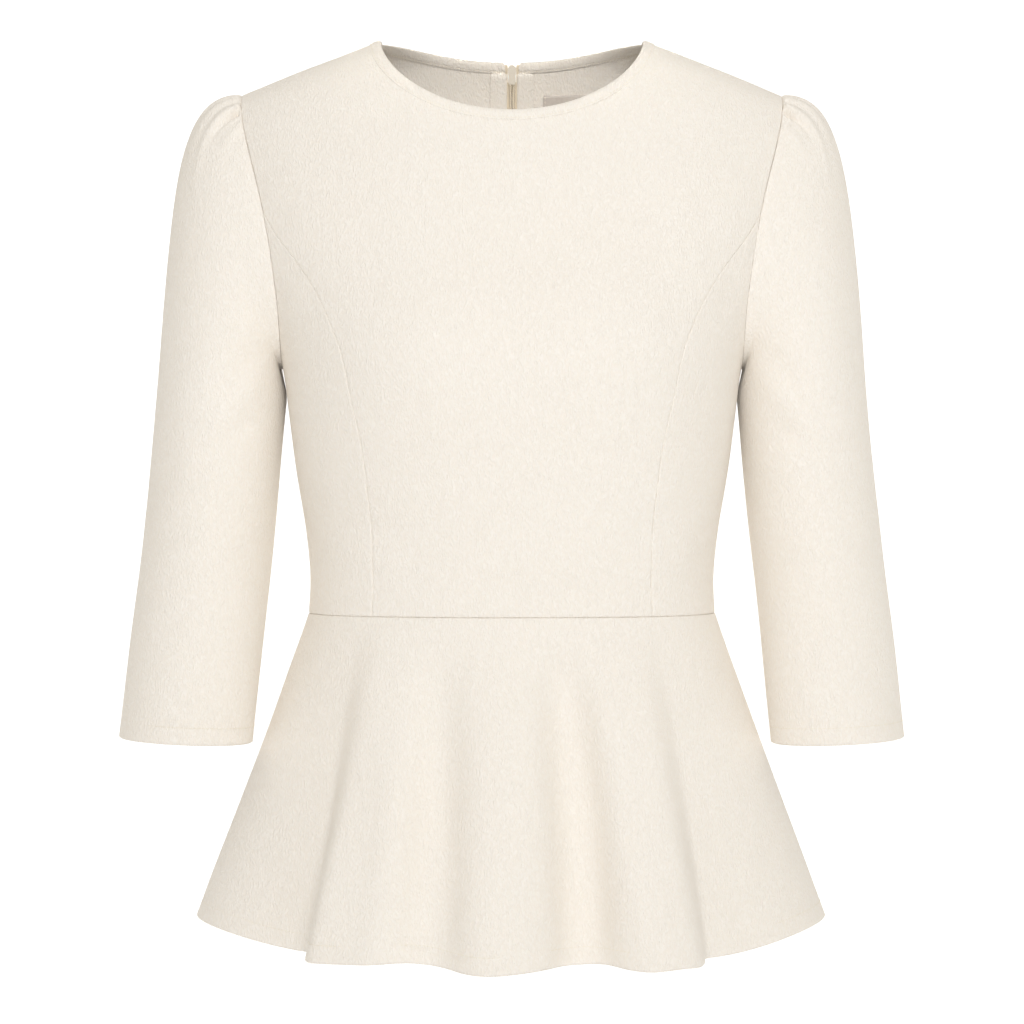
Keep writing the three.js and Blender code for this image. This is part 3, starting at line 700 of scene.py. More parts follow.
def fold_at(theta):
    """The reach and the drop of the peplum's folds at an angle."""
    i = np.clip(np.searchsorted(FOLD_TABLE[:, 0], theta), 1, len(FOLD_TABLE) - 1)
    start, end = FOLD_TABLE[i - 1], FOLD_TABLE[i]
    share = (theta - start[..., 0]) / (end[..., 0] - start[..., 0])
    share = 0.5 - 0.5 * np.cos(np.pi * share)
    return mix(start[..., 1], end[..., 1], share), mix(start[..., 2], end[..., 2], share)


def peplum(theta, up):
    """Points of the peplum, with up from 0 at the hem to 1 at the waist seam."""
    down = np.maximum(0, 1 - up)
    turned_back = (theta + 540) % 360 - 180
    sin, cos = sin_cos(turned_back)
    depth = np.where(cos > 0, HEM_FRONT, HEM_BACK)
    reach, drop = fold_at(turned_back)
    out_x, out_y = sin / HEM_HALF, -cos / depth
    size = np.hypot(out_x, out_y)
    start = torso(turned_back, np.zeros_like(turned_back))
    flare = down ** FLARE_START
    fold = reach * down ** FOLD_START
    return np.stack(
        [
            mix(start[..., 0], HEM_HALF * sin, flare) + out_x / size * fold,
            mix(start[..., 1], -depth * cos, flare) + out_y / size * fold,
            WAIST - drop * down,
        ],
        -1,
    )


def peplum_piece(low, high):
    """A piece of the peplum between two angles, in rows from the hem to the waist."""
    theta = np.linspace(low, high, PEPLUM_MEASURES)
    run = run_of(peplum(theta, np.zeros_like(theta)))
    across = np.interp(spread_over(run[-1], True, True), run, theta)
    length = FOLD_TABLE[0, 2]
    up = spread_over(length, False, True) / length
    up = np.concatenate([np.array(HEM_STEPS) / length, up[1:]])
    across, up = np.meshgrid(across, up)
    return facing(peplum, across, up, TURN_STEP, 2 * RISE_STEP)


# Soft creases: each runs from one point to another, as seen from the front or the back, with
# the way that it stands out, or in if below 0, and its half width
FRONT_CREASES = [
    (-158, -150, -128, -196, -0.9, 9),
    (-150, -128, -104, -150, 0.7, 12),
    (156, -158, 126, -206, -0.8, 9),
    (148, -130, 100, -158, 0.6, 12),
    (-120, -330, -60, -352, -0.8, 11),
    (-128, -352, -76, -372, 0.7, 8),
    (122, -322, 66, -348, -0.7, 11),
    (126, -350, 84, -366, 0.6, 8),
    (-30, -352, 34, -346, -0.5, 12),
]
BACK_CREASES = [
    (-150, -140, -112, -188, -0.9, 10),
    (150, -146, 116, -190, -0.8, 9),
    (-118, -322, -40, -340, -1.0, 9),
    (-110, -346, -30, -360, 0.9, 8),
    (116, -326, 44, -346, -0.9, 9),
    (112, -350, 36, -366, 0.8, 8),
    (-96, -300, -30, -314, 0.7, 10),
    (100, -304, 34, -318, 0.7, 10),
]
SLEEVE_CREASES = [
    (168, -214, 196, -250, -1.4, 8),
    (170, -236, 204, -278, 1.1, 8),
    (172, -262, 214, -300, -1.3, 8),
    (184, -322, 236, -346, -1.0, 9),
    (188, -350, 244, -362, 0.9, 9),
    (192, -386, 240, -408, -0.8, 10),
    (226, -300, 256, -322, -0.7, 10),
]
PEPLUM_CREASES = [
    (30, -400, 48, -720, -12, 16),
    (-50, -420, -60, -720, -9, 17),
    (8, -460, 12, -700, 3, 18),
    (-80, -460, -92, -700, 3, 18),
    (84, -440, 100, -700, 3, 18),
]
CREASE_BEND = 0.35  # share of its half width by which a crease curves
CREASE_PAST = 0.15  # share of its length by which it goes past its ends
CREASE_FADE = 0.4


def crease_lift(points, creases):
    """How far a table of creases moves each point out."""
    x, z = points[..., 0], points[..., 2]
    lift = np.zeros(x.shape)
    for x0, z0, x1, z1, height, width in creases:
        along = np.array([x1 - x0, z1 - z0], float)
        length = np.linalg.norm(along)
        along /= length
        share = ((x - x0) * along[0] + (z - z0) * along[1]) / length
        off = ((z - z0) * along[0] - (x - x0) * along[1]) / width
        off = off - CREASE_BEND * np.sin(share * 3)
        start = ease((share + CREASE_PAST) / CREASE_FADE)
        end = ease((1 + CREASE_PAST - share) / CREASE_FADE)
        lift += height * start * end * np.exp(-off * off)
    return lift


WAVE_LENGTHS = np.array([154, 187, 132, 242, 110, 209, 286, 143, 96.8])
WAVES = chance.normal(size=(len(WAVE_LENGTHS), 3)) * 2 * np.pi / WAVE_LENGTHS[:, None]
WAVE_STARTS = chance.uniform(0, 2 * np.pi, len(WAVE_LENGTHS))


def drift(points, size):
    """A slow, uneven swell of the cloth."""
    return size * np.sin(points @ WAVES.T + WAVE_STARTS).mean(-1)


def from_edges(points, closed=False):
    """How far each point of a grid is from its bottom, top, left and right edges."""
    up = run_of(points)
    edges = {"bottom": up, "top": up[-1:] - up}
    if not closed:
        on = run_of(points, 1)
        edges.update(left=on, right=on[:, -1:] - on)
    return edges


def nearest(edges, names):
    """The distance to the nearest of the named edges."""
    return np.min([edges[name] for name in names], axis=0)


def seam_roll(distance):
    """How far the cloth turns in beside a seam."""
    near = np.clip(1 - distance / ROLL, 0, 1)
    return -ROLL_DEPTH * (1 - np.sqrt(1 - near * near))


def pucker(points, distance):
    """The small waves that sewing leaves beside a seam."""
    waves = np.sin(points @ PUCKER_WAVES.T).prod(-1)
    return PUCKER * waves * np.exp(-distance / PUCKER_FADE) * ease(distance / PUCKER_START)


def turned_in(distance):
    """The thickness that the turned-in cloth adds at a distance from a seam."""
    return ALLOWANCE_THICK * ease((ALLOWANCE - distance) / ALLOWANCE_FADE)


def turned_up(from_hem):
    """The thickness that the turned-up cloth adds at a distance from the hem."""
    return (HEM_CLOTH - CLOTH) * ease((HEM_DEPTH - from_hem) / HEM_FADE)


def hem_groove(from_hem):
    """How far the hem's stitches draw the cloth in."""
    return -GROOVE * np.exp(-((from_hem - HEM_DEPTH) / GROOVE_HALF) ** 2)


# Materials

class Shade:
    """A socket of a material, with arithmetic that makes the nodes for it."""

    def __init__(self, tree, socket):
        self.tree = tree
        self.socket = socket

    def make(self, kind, settings=None, inputs=None, output=0):
        """A node of any kind: its settings first, then values or links for its sockets."""
        node = self.tree.nodes.new(kind)
        for name, value in (settings or {}).items():
            setattr(node, name, value)
        for name, value in (inputs or {}).items():
            if isinstance(value, Shade):
                self.tree.links.new(value.socket, node.inputs[name])
            else:
                node.inputs[name].default_value = value
        return Shade(self.tree, node.outputs[output])

    def math(self, operation, *values):
        values = dict(enumerate(values))
        return self.make("ShaderNodeMath", {"operation": operation}, values)

    def __add__(self, other):
        return self.math("ADD", self, other)

    def __radd__(self, other):
        return self.math("ADD", other, self)

    def __sub__(self, other):
        return self.math("SUBTRACT", self, other)

    def __rsub__(self, other):
        return self.math("SUBTRACT", other, self)

    def __mul__(self, other):
        return self.math("MULTIPLY", self, other)

    def __rmul__(self, other):
        return self.math("MULTIPLY", other, self)

    def __truediv__(self, other):
        return self.math("DIVIDE", self, other)

    def __rtruediv__(self, other):
        return self.math("DIVIDE", other, self)

    def wave(self):
        return self.math("SINE", self)

    def between(self, low, high):
        """0 below low, 1 above high, and gently from one to the other."""
        settings = {"interpolation_type": "SMOOTHSTEP"}
        inputs = {"Value": self, "From Min": low, "From Max": high}
        return self.make("ShaderNodeMapRange", settings, inputs)

    def blend(self, low, high):
        """The colour low where this is 0, and high where it is 1."""
        settings = {"data_type": "RGBA"}
        inputs = {0: self, 6: as_colour(low), 7: as_colour(high)}
        return self.make("ShaderNodeMix", settings, inputs, 2)

    def noise(self, scale, detail=2.0, output=0):
        inputs = {"Vector": self, "Scale": scale, "Detail": detail}
        return self.make("ShaderNodeTexNoise", None, inputs, output)

    def axis(self, name):
        """One coordinate of a place."""
        return self.make("ShaderNodeSeparateXYZ", None, {0: self}, "XYZ".index(name))


def as_colour(value):
    return value if isinstance(value, Shade) else (*value, 1)


def linear(red, green, blue):
    """A colour on the 0 to 255 scale of a screen, as light."""
    shares = np.array([red, green, blue]) / 255
    light = np.where(shares > 0.04045, ((shares + 0.055) / 1.055) ** 2.4, shares / 12.92)
    return tuple(float(value) for value in light)


def new_material(name, plain):
    """A material, its shader and the place on the object, for a finish to start from."""
    material = bpy.data.materials.new(name)
    material.use_nodes = True
    material.diffuse_color = (*plain, 1)
    tree = material.node_tree
    place = Shade(tree, None).make("ShaderNodeTexCoord", None, None, 3)
    return material, tree.nodes["Principled BSDF"], place


def connect(value, shader, name):
    value.tree.links.new(value.socket, shader.inputs[name])


def dress(shader, tone, low, high, roughness, relief, depth):
    """Gives a shader a colour between two, a roughness and a relief with a depth in metres."""
    connect(tone.blend(low, high), shader, "Base Color")
    connect(roughness, shader, "Roughness")
    inputs = {"Height": relief, "Distance": depth}
    connect(relief.make("ShaderNodeBump", None, inputs), shader, "Normal")


def crepe_material():
    """Heavy crepe: fine wavy ridges, short and slanting, that run into each other."""
    dark, light = linear(248, 241, 231), linear(252, 248, 242)
    material, shader, place = new_material("cream crepe", light)
    wander = place.noise(260, 1.0, "Color")
    way = {0: wander, 1: (0.0022, 0.0022, 0.0022), 2: place}
    bent = place.make("ShaderNodeVectorMath", {"operation": "MULTIPLY_ADD"}, way)
    slant = {"Vector": bent, "Rotation": (0, 0.9, 0), "Scale": (1, 0.7, 0.38)}
    ridges = bent.make("ShaderNodeMapping", None, slant).noise(980, 1.5)
    grain = place.noise(1900, 1.0)
    relief = ridges.between(0.3, 0.7) * 0.85 + grain * 0.15
    # The colour is darker in the pits of the grain, which is painted shade, and varies at random with a
    # slow noise.
    tone = relief * 0.7 + place.noise(14, 3.0) * 0.3
    dress(shader, tone, dark, light, relief * -0.1 + 0.9, relief, 0.00036)
    shader.inputs["Sheen Weight"].default_value = 0.05
    shader.inputs["Sheen Roughness"].default_value = 0.6
    shader.inputs["Specular IOR Level"].default_value = 0.25
    return material


def thread_material():
    """Sewing thread: two strands twisted together, with a little fuzz."""
    dark, light = linear(238, 229, 211), linear(254, 249, 238)
    material, shader, place = new_material("sewing thread", dark)
    twist = ((place.axis("X") + place.axis("Z")) * 9000).wave()
    fuzz = place.noise(4000, 1.0)
    tone = twist.between(-1, 1) * 0.6 + fuzz * 0.4
    dress(shader, tone, dark, light, fuzz * 0.2 + 0.55, tone, 0.00005)
    return material


def tape_material():
    """Woven tape: close ribs up and across."""
    dark, light = linear(226, 212, 188), linear(246, 236, 218)
    material, shader, place = new_material("zip tape", dark)
    across = (place.axis("X") * 5200).wave()
    up = (place.axis("Z") * 6800).wave()
    weave = across * up * 0.5 + 0.5
    fuzz = place.noise(900)
    tone = weave * 0.6 + fuzz * 0.4
    dress(shader, tone, dark, light, fuzz * 0.15 + 0.75, weave, 0.00008)
    return material


def coil_material():
    """The moulded coil: plain nylon with a faint haze."""
    dark, light = linear(224, 210, 186), linear(244, 234, 216)
    material, shader, place = new_material("zip coil", dark)
    haze = place.noise(600)
    dress(shader, haze, dark, light, haze * 0.2 + 0.32, haze, 0.00004)
    return material


def enamel_material():
    """Enamel on small metal parts, with a little wear."""
    dark, light = linear(238, 230, 215), linear(251, 246, 236)
    material, shader, place = new_material("zip enamel", dark)
    mottle = place.noise(500, 3.0)
    specks = place.noise(2400, 1.0).between(0.62, 0.72)
    tone = mottle * 0.8 + specks * 0.2
    dress(shader, tone, dark, light, mottle * 0.2 + 0.26, mottle, 0.00006)
    shader.inputs["Coat Weight"].default_value = 0.12
    return material


def satin_material():
    """A blank satin label: a fine weave that shines along one way."""
    dark, light = linear(200, 190, 182), linear(228, 221, 214)
    material, shader, place = new_material("label satin", dark)
    ribs = (place.axis("X") * 7000).wave()
    slubs = place.noise(300)
    tone = ribs.between(-1, 1) * 0.4 + slubs * 0.6
    dress(shader, tone, dark, light, slubs * 0.2 + 0.3, ribs, 0.00004)
    shader.inputs["Anisotropic"].default_value = 0.5
    return material


CREPE = crepe_material()
THREAD_LOOK = thread_material()
TAPE_LOOK = tape_material()
COIL_LOOK = coil_material()
ENAMEL = enamel_material()
SATIN = satin_material()


# Meshes

def in_scene(name, data):
    """An object of the scene, from its mesh, light or camera."""
    thing = bpy.data.objects.new(name, data)
    bpy.context.scene.collection.objects.link(thing)
    return thing


def mesh_object(name, points, faces, material):
    """A piece of the garment from points in millimetres."""
    mesh = bpy.data.meshes.new(name)
    mesh.from_pydata((np.asarray(points) * MM).tolist(), [], np.asarray(faces).tolist())
    mesh.polygons.foreach_set("use_smooth", [True] * len(mesh.polygons))
    mesh.set_sharp_from_angle(angle=math.radians(SHARP))
    mesh.materials.append(material)
    piece = in_scene(name, mesh)
    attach(piece, "garment")
    return piece


def strip_faces(a, b, closed):
    """Quads between two lines of point numbers."""
    if closed:
        a, b = np.append(a, a[0]), np.append(b, b[0])
    return np.stack([a[:-1], a[1:], b[1:], b[:-1]], -1)


def grid_faces(numbers, closed):
    """Quads of a grid of point numbers."""
    if closed:
        numbers = np.hstack([numbers, numbers[:, :1]])
    low, high = numbers[:-1], numbers[1:]
    quads = np.stack([low[:, :-1], low[:, 1:], high[:, 1:], high[:, :-1]], -1)
    return quads.reshape(-1, 4)


def mirrored(points, normals):
    """The mirror image of a grid, for the wearer's right."""
    return points[:, ::-1] * FLIP, normals[:, ::-1] * FLIP


def shell(name, points, normals, outside, inside, closed=False, round_edge=0.35,
          material=CREPE, slot="crepe", side="left"):
    """A closed wall between two distances from a grid of points, made on the wearer's left."""
    if side == "right":
        points, normals = mirrored(points, normals)
        outside, inside = outside[:, ::-1], inside[:, ::-1]
    rows, columns = points.shape[:2]
    outer = points + normals * outside[..., None]
    inner = points + normals * inside[..., None]
    numbers = np.arange(rows * columns).reshape(rows, columns)
    count = rows * columns
    faces = [grid_faces(numbers, closed), grid_faces(numbers, closed)[:, ::-1] + count]
    if closed:
        loops = [(numbers[0], numbers[1], False), (numbers[-1], numbers[-2], True)]
    else:
        loop = [numbers[0, :-1], numbers[:-1, -1], numbers[-1, :0:-1], numbers[:0:-1, 0]]
        within = [numbers[1, :-1], numbers[:-1, -2], numbers[-2, :0:-1], numbers[:0:-1, 1]]
        loops = [(np.concatenate(loop), np.concatenate(within), False)]
    flat_outer = outer.reshape(-1, 3)
    flat_inner = inner.reshape(-1, 3)
    flat = points.reshape(-1, 3)
    rims = []
    done = 2 * count
    for loop, within, flip in loops:
        out = flat[loop] - flat[within]
        out /= np.maximum(np.linalg.norm(out, axis=-1, keepdims=True), 1e-9)
        thick = np.linalg.norm(flat_outer[loop] - flat_inner[loop], axis=-1, keepdims=True)
        rims.append((flat_outer[loop] + flat_inner[loop]) / 2 + out * thick * round_edge)
        middle = done + np.arange(len(loop))
        done += len(loop)
        upper = strip_faces(middle, loop, True)
        lower = strip_faces(loop + count, middle, True)
        rim = np.concatenate([upper, lower])
        faces.append(rim[:, ::-1] if flip else rim)
    everything = np.concatenate([flat_outer, flat_inner, *rims])
    return mesh_object(name, everything, np.concatenate(faces), material)


CUTS = {}


def cut_of(name, points, seams, hem, closed=False):
    """Notes the cut of what shows of a piece, and the whole cut with seams and hem."""
    if closed:
        points = np.concatenate([points, points[:, :1]], 1)
    across = np.linalg.norm(np.diff(points, axis=1), axis=-1).sum(1).max()
    up = np.linalg.norm(np.diff(points, axis=0), axis=-1).sum(0).max()
    side_a = points[1:, :-1] - points[:-1, :-1]
    side_b = points[:-1, 1:] - points[:-1, :-1]
    shown = np.linalg.norm(np.cross(side_a, side_b), axis=-1).sum()
    whole = across + 2 * ALLOWANCE, up + ALLOWANCE * seams + HEM_DEPTH * hem
    CUTS[name] = [round(value) for value in (across, up, shown / 100, *whole)]


def bodice_piece(name, points, normals, creases):
    """A piece of the bodice, with its crease lift and its sewn edges."""
    edges = from_edges(points)
    at_neck = np.abs(points[-1, :, 0]) < NECK_HALF + BINDING - 0.2
    edges["top"] = edges["top"] + at_neck * ALLOWANCE
    distance = nearest(edges, edges)
    lift = crease_lift(points, creases) + drift(points, BODICE_DRIFT)
    outside = lift + seam_roll(distance) + pucker(points, distance)
    inside = lift - CLOTH - turned_in(distance)
    piece = shell(name, points, normals, outside, inside, round_edge=0.15)
    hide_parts(name)
    return piece


def stitch_run(name, points, normals, closed=False, radius=THREAD, side="left"):
    """A row of stitches along a line that lies on the cloth, made on the wearer's left."""
    if side == "right":
        points, normals = points * FLIP, normals * FLIP
    if closed:
        points = np.vstack([points, points[:1]])
        normals = np.vstack([normals, normals[:1]])
    run = run_of(points)
    count = max(1, int(run[-1] / (STITCH + STITCH_GAP)))
    pitch = run[-1] / count
    along = np.linspace(-1, 1, STITCH_RINGS)
    shape = np.sqrt(np.clip(1 - np.abs(along) ** 3, 0, 1))
    shape[[0, -1]] = 0.25
    around = np.arange(STITCH_SIDES) * 2 * np.pi / STITCH_SIDES
    starts = (np.arange(count) + 0.5) * pitch
    at = starts[:, None] + along * (pitch - STITCH_GAP) / 2
    centre = np.stack([np.interp(at, run, points[:, k]) for k in range(3)], -1)
    up = np.stack([np.interp(at, run, normals[:, k]) for k in range(3)], -1)
    ahead = np.gradient(centre, axis=1)
    ahead /= np.linalg.norm(ahead, axis=-1, keepdims=True)
    across = np.cross(up, ahead)[:, :, None]
    centre = centre - up * (1 - shape)[None, :, None] * radius * 1.2
    size = radius * shape[None, :, None, None]
    round_it = across * np.cos(around)[:, None] + up[:, :, None] * np.sin(around)[:, None]
    ring = centre[:, :, None] + round_it * size
    numbers = np.arange(ring[..., 0].size).reshape(ring.shape[:3])
    faces = []
    for row in numbers:
        faces.append(grid_faces(row, True))
        for end in (row[0, ::-1], row[-1]):
            faces += [end[None, :4], end[[3, 4, 5, 0]][None]]
    return mesh_object(name, ring.reshape(-1, 3), np.concatenate(faces), THREAD_LOOK)


def line_at(points, normals, edges, side, distance, lift):
    """The line of a grid that keeps a distance from one of its edges."""
    away = edges[side]
    if side in ("left", "right"):
        away = away.T
        points = points.transpose(1, 0, 2)
        normals = normals.transpose(1, 0, 2)
    order = slice(None) if side in ("bottom", "left") else slice(None, None, -1)
    away, points, normals = away[order], points[order], normals[order]
    line = []
    for k in range(away.shape[1]):
        i = int(np.clip(np.searchsorted(away[:, k], distance), 1, len(away) - 1))
        share = (distance - away[i - 1, k]) / max(away[i, k] - away[i - 1, k], 1e-6)
        point = mix(points[i - 1, k], points[i, k], share)
        normal = mix(normals[i - 1, k], normals[i, k], share)
        line.append((point + normal * lift, normal))
    line = np.array(line)
    return line[:, 0], line[:, 1]


def build_front():
    points, normals = on_torso(front_places())
    other_points, other_normals = mirrored(points, normals)
    points = np.concatenate([other_points, points[:, 1:]], 1)
    normals = np.concatenate([other_normals, normals[:, 1:]], 1)
    piece = bodice_piece("front", points, normals, FRONT_CREASES)
    cut_of("front", points, 2, 0)


def build_pair(name, places, creases, trim=None):
    """Both sides of a piece of the bodice, with the trim that is made of their own cloth."""
    points, normals = on_torso(places)
    for side in ("left", "right"):
        if side == "right":
            points, normals = mirrored(points, normals)
        piece = bodice_piece(f"{name}_{side}", points, normals, creases)
        with_pieces = trim(side) if trim else ()
        cut_of(f"{name}_{side}", points, 2, 0)


def sew_hem(name, points, normals, edges, edge, closed=False):
    """The row of stitches that holds a turned-up hem."""
    line, up = line_at(points, normals, edges, edge, HEM_DEPTH, THREAD / 10)
    return stitch_run(name, line, up, closed)


def build_sleeve(side):
    name = f"sleeve_{side}"
    points, down = sleeve_points()
    normals = grid_normals(points, True)
    if side == "right":
        points, normals = mirrored(points, normals)
        down = down[:, ::-1]
    edges = from_edges(points, True)
    distance, from_cuff = edges["bottom"], edges["top"]
    shown = points * (1 if side == "left" else FLIP)
    front = np.clip(-normals[..., 1] * 1.4, 0, 1)
    swell = drift(points, SLEEVE_DRIFT) * ease(down / SLEEVE_FADE)
    lift = crease_lift(shown, SLEEVE_CREASES) * front + swell
    outside = lift + CAP_ROLL * seam_roll(distance) + hem_groove(from_cuff)
    inside = lift - CLOTH - turned_in(distance) - turned_up(from_cuff)
    piece = shell(name, points, normals, outside, inside, closed=True)
    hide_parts(name)
    stitches = sew_hem(f"cuff_stitches_{side}", points, normals, edges, "top", closed=True)
    cut_of(name, points, 1, 1, closed=True)


def build_peplum(name, low, high, creases=()):
    points, normals = peplum_piece(low, high)
    if name.endswith("right"):
        points, normals = mirrored(points, normals)
    edges = from_edges(points)
    distance = nearest(edges, ["top", "left", "right"])
    from_hem = edges["bottom"]
    swell = drift(points, PEPLUM_DRIFT) + crease_lift(points, creases)
    lift = swell * ease(edges["top"] / PEPLUM_FADE)
    outside = lift + seam_roll(distance) + pucker(points, distance) + hem_groove(from_hem)
    inside = lift - CLOTH - np.maximum(turned_in(distance), turned_up(from_hem))
    piece = shell(name, points, normals, outside, inside)
    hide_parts(name)
    stitches = sew_hem(f"{name}_stitches", points, normals, edges, "bottom")
    cut_of(name, points, 1, 1)


def binding_lines(wider):
    """The neck edge all round, from one side of the zip to the other, moved out. Its points
    stand closer beside the zip."""
    ahead = np.linspace(0, 1, BINDING_POINTS)
    behind = 1 - np.linspace(0, 1, BINDING_BEHIND) ** 0.8
    close = np.linspace(behind[-BINDING_LAST], 0, BINDING_CLOSE)
    behind = np.append(behind[:-BINDING_LAST], close[1:])
    front = on_torso(evenly(neck_edge(False, wider), ahead))
    rear = on_torso(evenly(neck_edge(True, wider), behind))
    half = [np.concatenate([a, b[1:]]) for a, b in zip(front, rear)]
    return [np.concatenate([values[::-1] * FLIP, values[1:]]) for values in half]


def build_binding():
    """A folded strip round the neck edge, stitched down along its lower side."""
    low, low_up = binding_lines(BINDING)
    high, high_up = binding_lines(0)
    outer_share, outer_lift = np.array(BINDING_PROFILE).T
    turn = np.linspace(0, np.pi, 7)[1:-1]
    middle = -CLOTH / 2
    turn_share = mix(outer_share[-1], 1, np.sin(turn))
    turn_lift = mix(middle, outer_lift[-1], np.cos(turn))
    share = np.concatenate([outer_share, turn_share, outer_share[::-1]])[:, None, None]
    lift = np.concatenate([outer_lift, turn_lift, 2 * middle - outer_lift[::-1]])
    run = run_of(mix(low, high, 0.5))
    near_end = np.clip(END_ROUND - np.minimum(run, run[-1] - run), 0, None)
    rounded = END_ROUND - np.sqrt(END_ROUND ** 2 - near_end ** 2)
    share = share * (1 - rounded / BINDING)[None, :, None]
    normals = mix(low_up, high_up, share)
    normals /= np.linalg.norm(normals, axis=-1, keepdims=True)
    points = mix(low, high, share) + normals * lift[:, None, None]
    flat = np.zeros(points.shape[:2])
    strip_normals = grid_normals(points, False)
    piece = shell("neck_binding", points, strip_normals, flat, flat - BINDING_CLOTH)
    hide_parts("neck_binding")
    line = mix(low, high, BINDING_SEWN)
    up = mix(low_up, high_up, BINDING_SEWN)
    outer = stitch_run("neck_stitches", line + up * NECK_SEWN_OUT, up, radius=NECK_THREAD)
    below = line - up * NECK_SEWN_IN
    inner = stitch_run("neck_stitches_inside", below, -up, radius=INNER_THREAD)
    length = run[-1]
    width = 2 * BINDING
    whole = width + 2 * ALLOWANCE, length + 2 * ALLOWANCE
    CUTS["neck_binding"] = [round(value) for value in (width, length, width * length / 100, *whole)]


def back_face(side, height):
    """The outer face at centre back, at a side distance, from the neck to the zip's end."""
    side, height = np.broadcast_arrays(np.asarray(side, float), np.asarray(height, float))
    points, normals = on_torso(seen_at(side, np.maximum(height, WAIST), True))
    low = fold_at(np.array(180.0))[1]
    down = np.clip((WAIST - height) / low, 0, 1)
    theta = 180 - solve(lambda angle: peplum(180 - angle, 1 - down)[..., 0], side, 0, 40)
    low_points, low_normals = facing(peplum, theta, 1 - down, TURN_STEP, 2 * RISE_STEP)
    below = (height < WAIST)[..., None]
    return np.where(below, low_points, points), np.where(below, low_normals, normals)


def build_tape(side):
    """One side of the woven tape, narrower beside the slider, and its end inside the neck."""
    heights = np.concatenate([coil_heights()[::6], np.arange(SLIDER_BOTTOM, TAPE_TOP, 0.6)])[:, None]
    steps = np.array([TAPE_SIDE, TAPE_SIDE - 1, 7, 5.6, 4.6, COIL_SIDE + 1.4, COIL_SIDE])
    room = SLIDER_HALF + 0.12 + 0.02 * steps
    beside_slider = ease((heights - COIL_TOP) / 1.5) * room
    name = f"zip_tape_{side}"
    look = {"material": TAPE_LOOK, "slot": "zip_tape", "side": side}
    points, normals = back_face(np.maximum(steps, beside_slider), heights)
    outside = np.full(points.shape[:2], -TAPE_DEEP)
    piece = shell(name, points, normals, outside, outside - TAPE_THICK, **look)
    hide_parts(name)
    end_heights = np.linspace(TAPE_TOP - 2, TAPE_END_TOP, 14)[:, None]
    points, normals = back_face(np.array(TAPE_END_SIDES), end_heights)
    outside = np.full(points.shape[:2], -TAPE_END_DEEP)
    shell(f"zip_tape_end_{side}", points, normals, outside, outside - TAPE_THICK, **look)


def sew_tape(side):
    """The stitches that hold a tape to the back."""
    line, up = back_face(TAPE_SEWN, coil_heights()[::8])
    below = line - up * (TAPE_DEEP + TAPE_THICK)
    stitch_run(f"zip_stitches_{side}", below, -up, side=side)


def coil_heights():
    """Heights along the coil, four to a rib, but for the waist seam."""
    rows = round((COIL_TOP - ZIP_END) / COIL_PITCH) * 4 + 1
    height = np.linspace(ZIP_END, COIL_TOP, rows)
    return height[np.abs(height - WAIST) > 0.6]


def build_coil(side):
    """The ribbed coil along the edge of a tape."""
    height = coil_heights()
    around = np.linspace(0, 2 * np.pi, 10, endpoint=False)
    centre, up = back_face(COIL_SIDE / 2 + 0.02, height)
    radius = COIL_HALF + COIL_RIB * np.cos(2 * np.pi * (height - height[0]) / COIL_PITCH)
    wide = (COIL_SIDE / 2 - 0.04) / (COIL_HALF + COIL_RIB) * radius
    right = np.cross(up, np.gradient(centre, axis=0))
    right /= np.linalg.norm(right, axis=-1, keepdims=True)
    ring = (
        centre[:, None]
        + right[:, None] * (wide[:, None] * np.cos(around))[..., None]
        + up[:, None] * (radius[:, None] * np.sin(around) - COIL_DEEP)[..., None]
    )
    if side == "right":
        ring = (ring * FLIP)[:, ::-1]
    numbers = np.arange(ring[..., 0].size).reshape(ring.shape[:2])
    faces = [grid_faces(numbers, True)]
    for row in (numbers[0, ::-1], numbers[-1]):
        faces.append(np.array([[row[i], row[i + 1], row[-i - 2], row[-i - 1]] for i in range(4)]))
    mesh_object(f"zip_coil_{side}", ring.reshape(-1, 3), np.concatenate(faces), COIL_LOOK)


def build_turning(side):
    """The cloth that is turned in at the zip, folded beside the coil and stitched down."""
    across = np.array(TURNING_SIDES)
    top = torso(*neck_line(np.array(0.0), True, BINDING))[2] - 0.4
    height = np.linspace(ZIP_END, top, TURNING_ROWS)
    points, normals = back_face(across[None], height[:, None])
    rolled = ease(1 - (across - across[-1]) / TURNING_ROLL) * 0.3
    sewn = GROOVE * np.exp(-((across - TURNING_SEWN) / 0.5) ** 2)
    outside = np.full(points.shape[:2], -TURNING_DEEP)
    inside = outside - TURNING_THICK + rolled - sewn
    turning = shell(f"zip_turning_{side}", points, normals, outside, inside, side=side)
    line, up = back_face(TURNING_SEWN, height)
    below = line - up * (TURNING_DEEP + 0.9)
    return [turning, stitch_run(f"zip_edge_stitches_{side}", below, -up, side=side)]


def build_label():
    """A blank satin label inside the back, folded under at both ends."""
    side, up = np.meshgrid(np.linspace(LABEL_OUTER, LABEL_INNER, 40), np.linspace(0, 1, 12))
    points, normals = on_torso(seen_at(side, mix(LABEL_BOTTOM, LABEL_TOP, up), True))
    edges = from_edges(points)
    folded = ease((LABEL_FOLD - nearest(edges, ["left", "right"])) / 1.2) * 0.4
    across = (side - LABEL_INNER) / (LABEL_OUTER - LABEL_INNER)
    bow = LABEL_BOW * np.sin(np.pi * up) * np.sin(np.pi * across)
    outside = -LABEL_DEEP - bow
    inside = outside - LABEL_THICK - folded
    piece = shell("label", points, normals, outside, inside, material=SATIN, slot="label_satin")
    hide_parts("label")
    for name in ("left", "right"):
        line, up = line_at(points, normals, edges, name, LABEL_SEWN, -LABEL_DEEP - 0.8)
        stitch_run(f"label_stitches_{name}", line, -up, radius=LABEL_THREAD)
    cut_of("label", points, 0, 0)


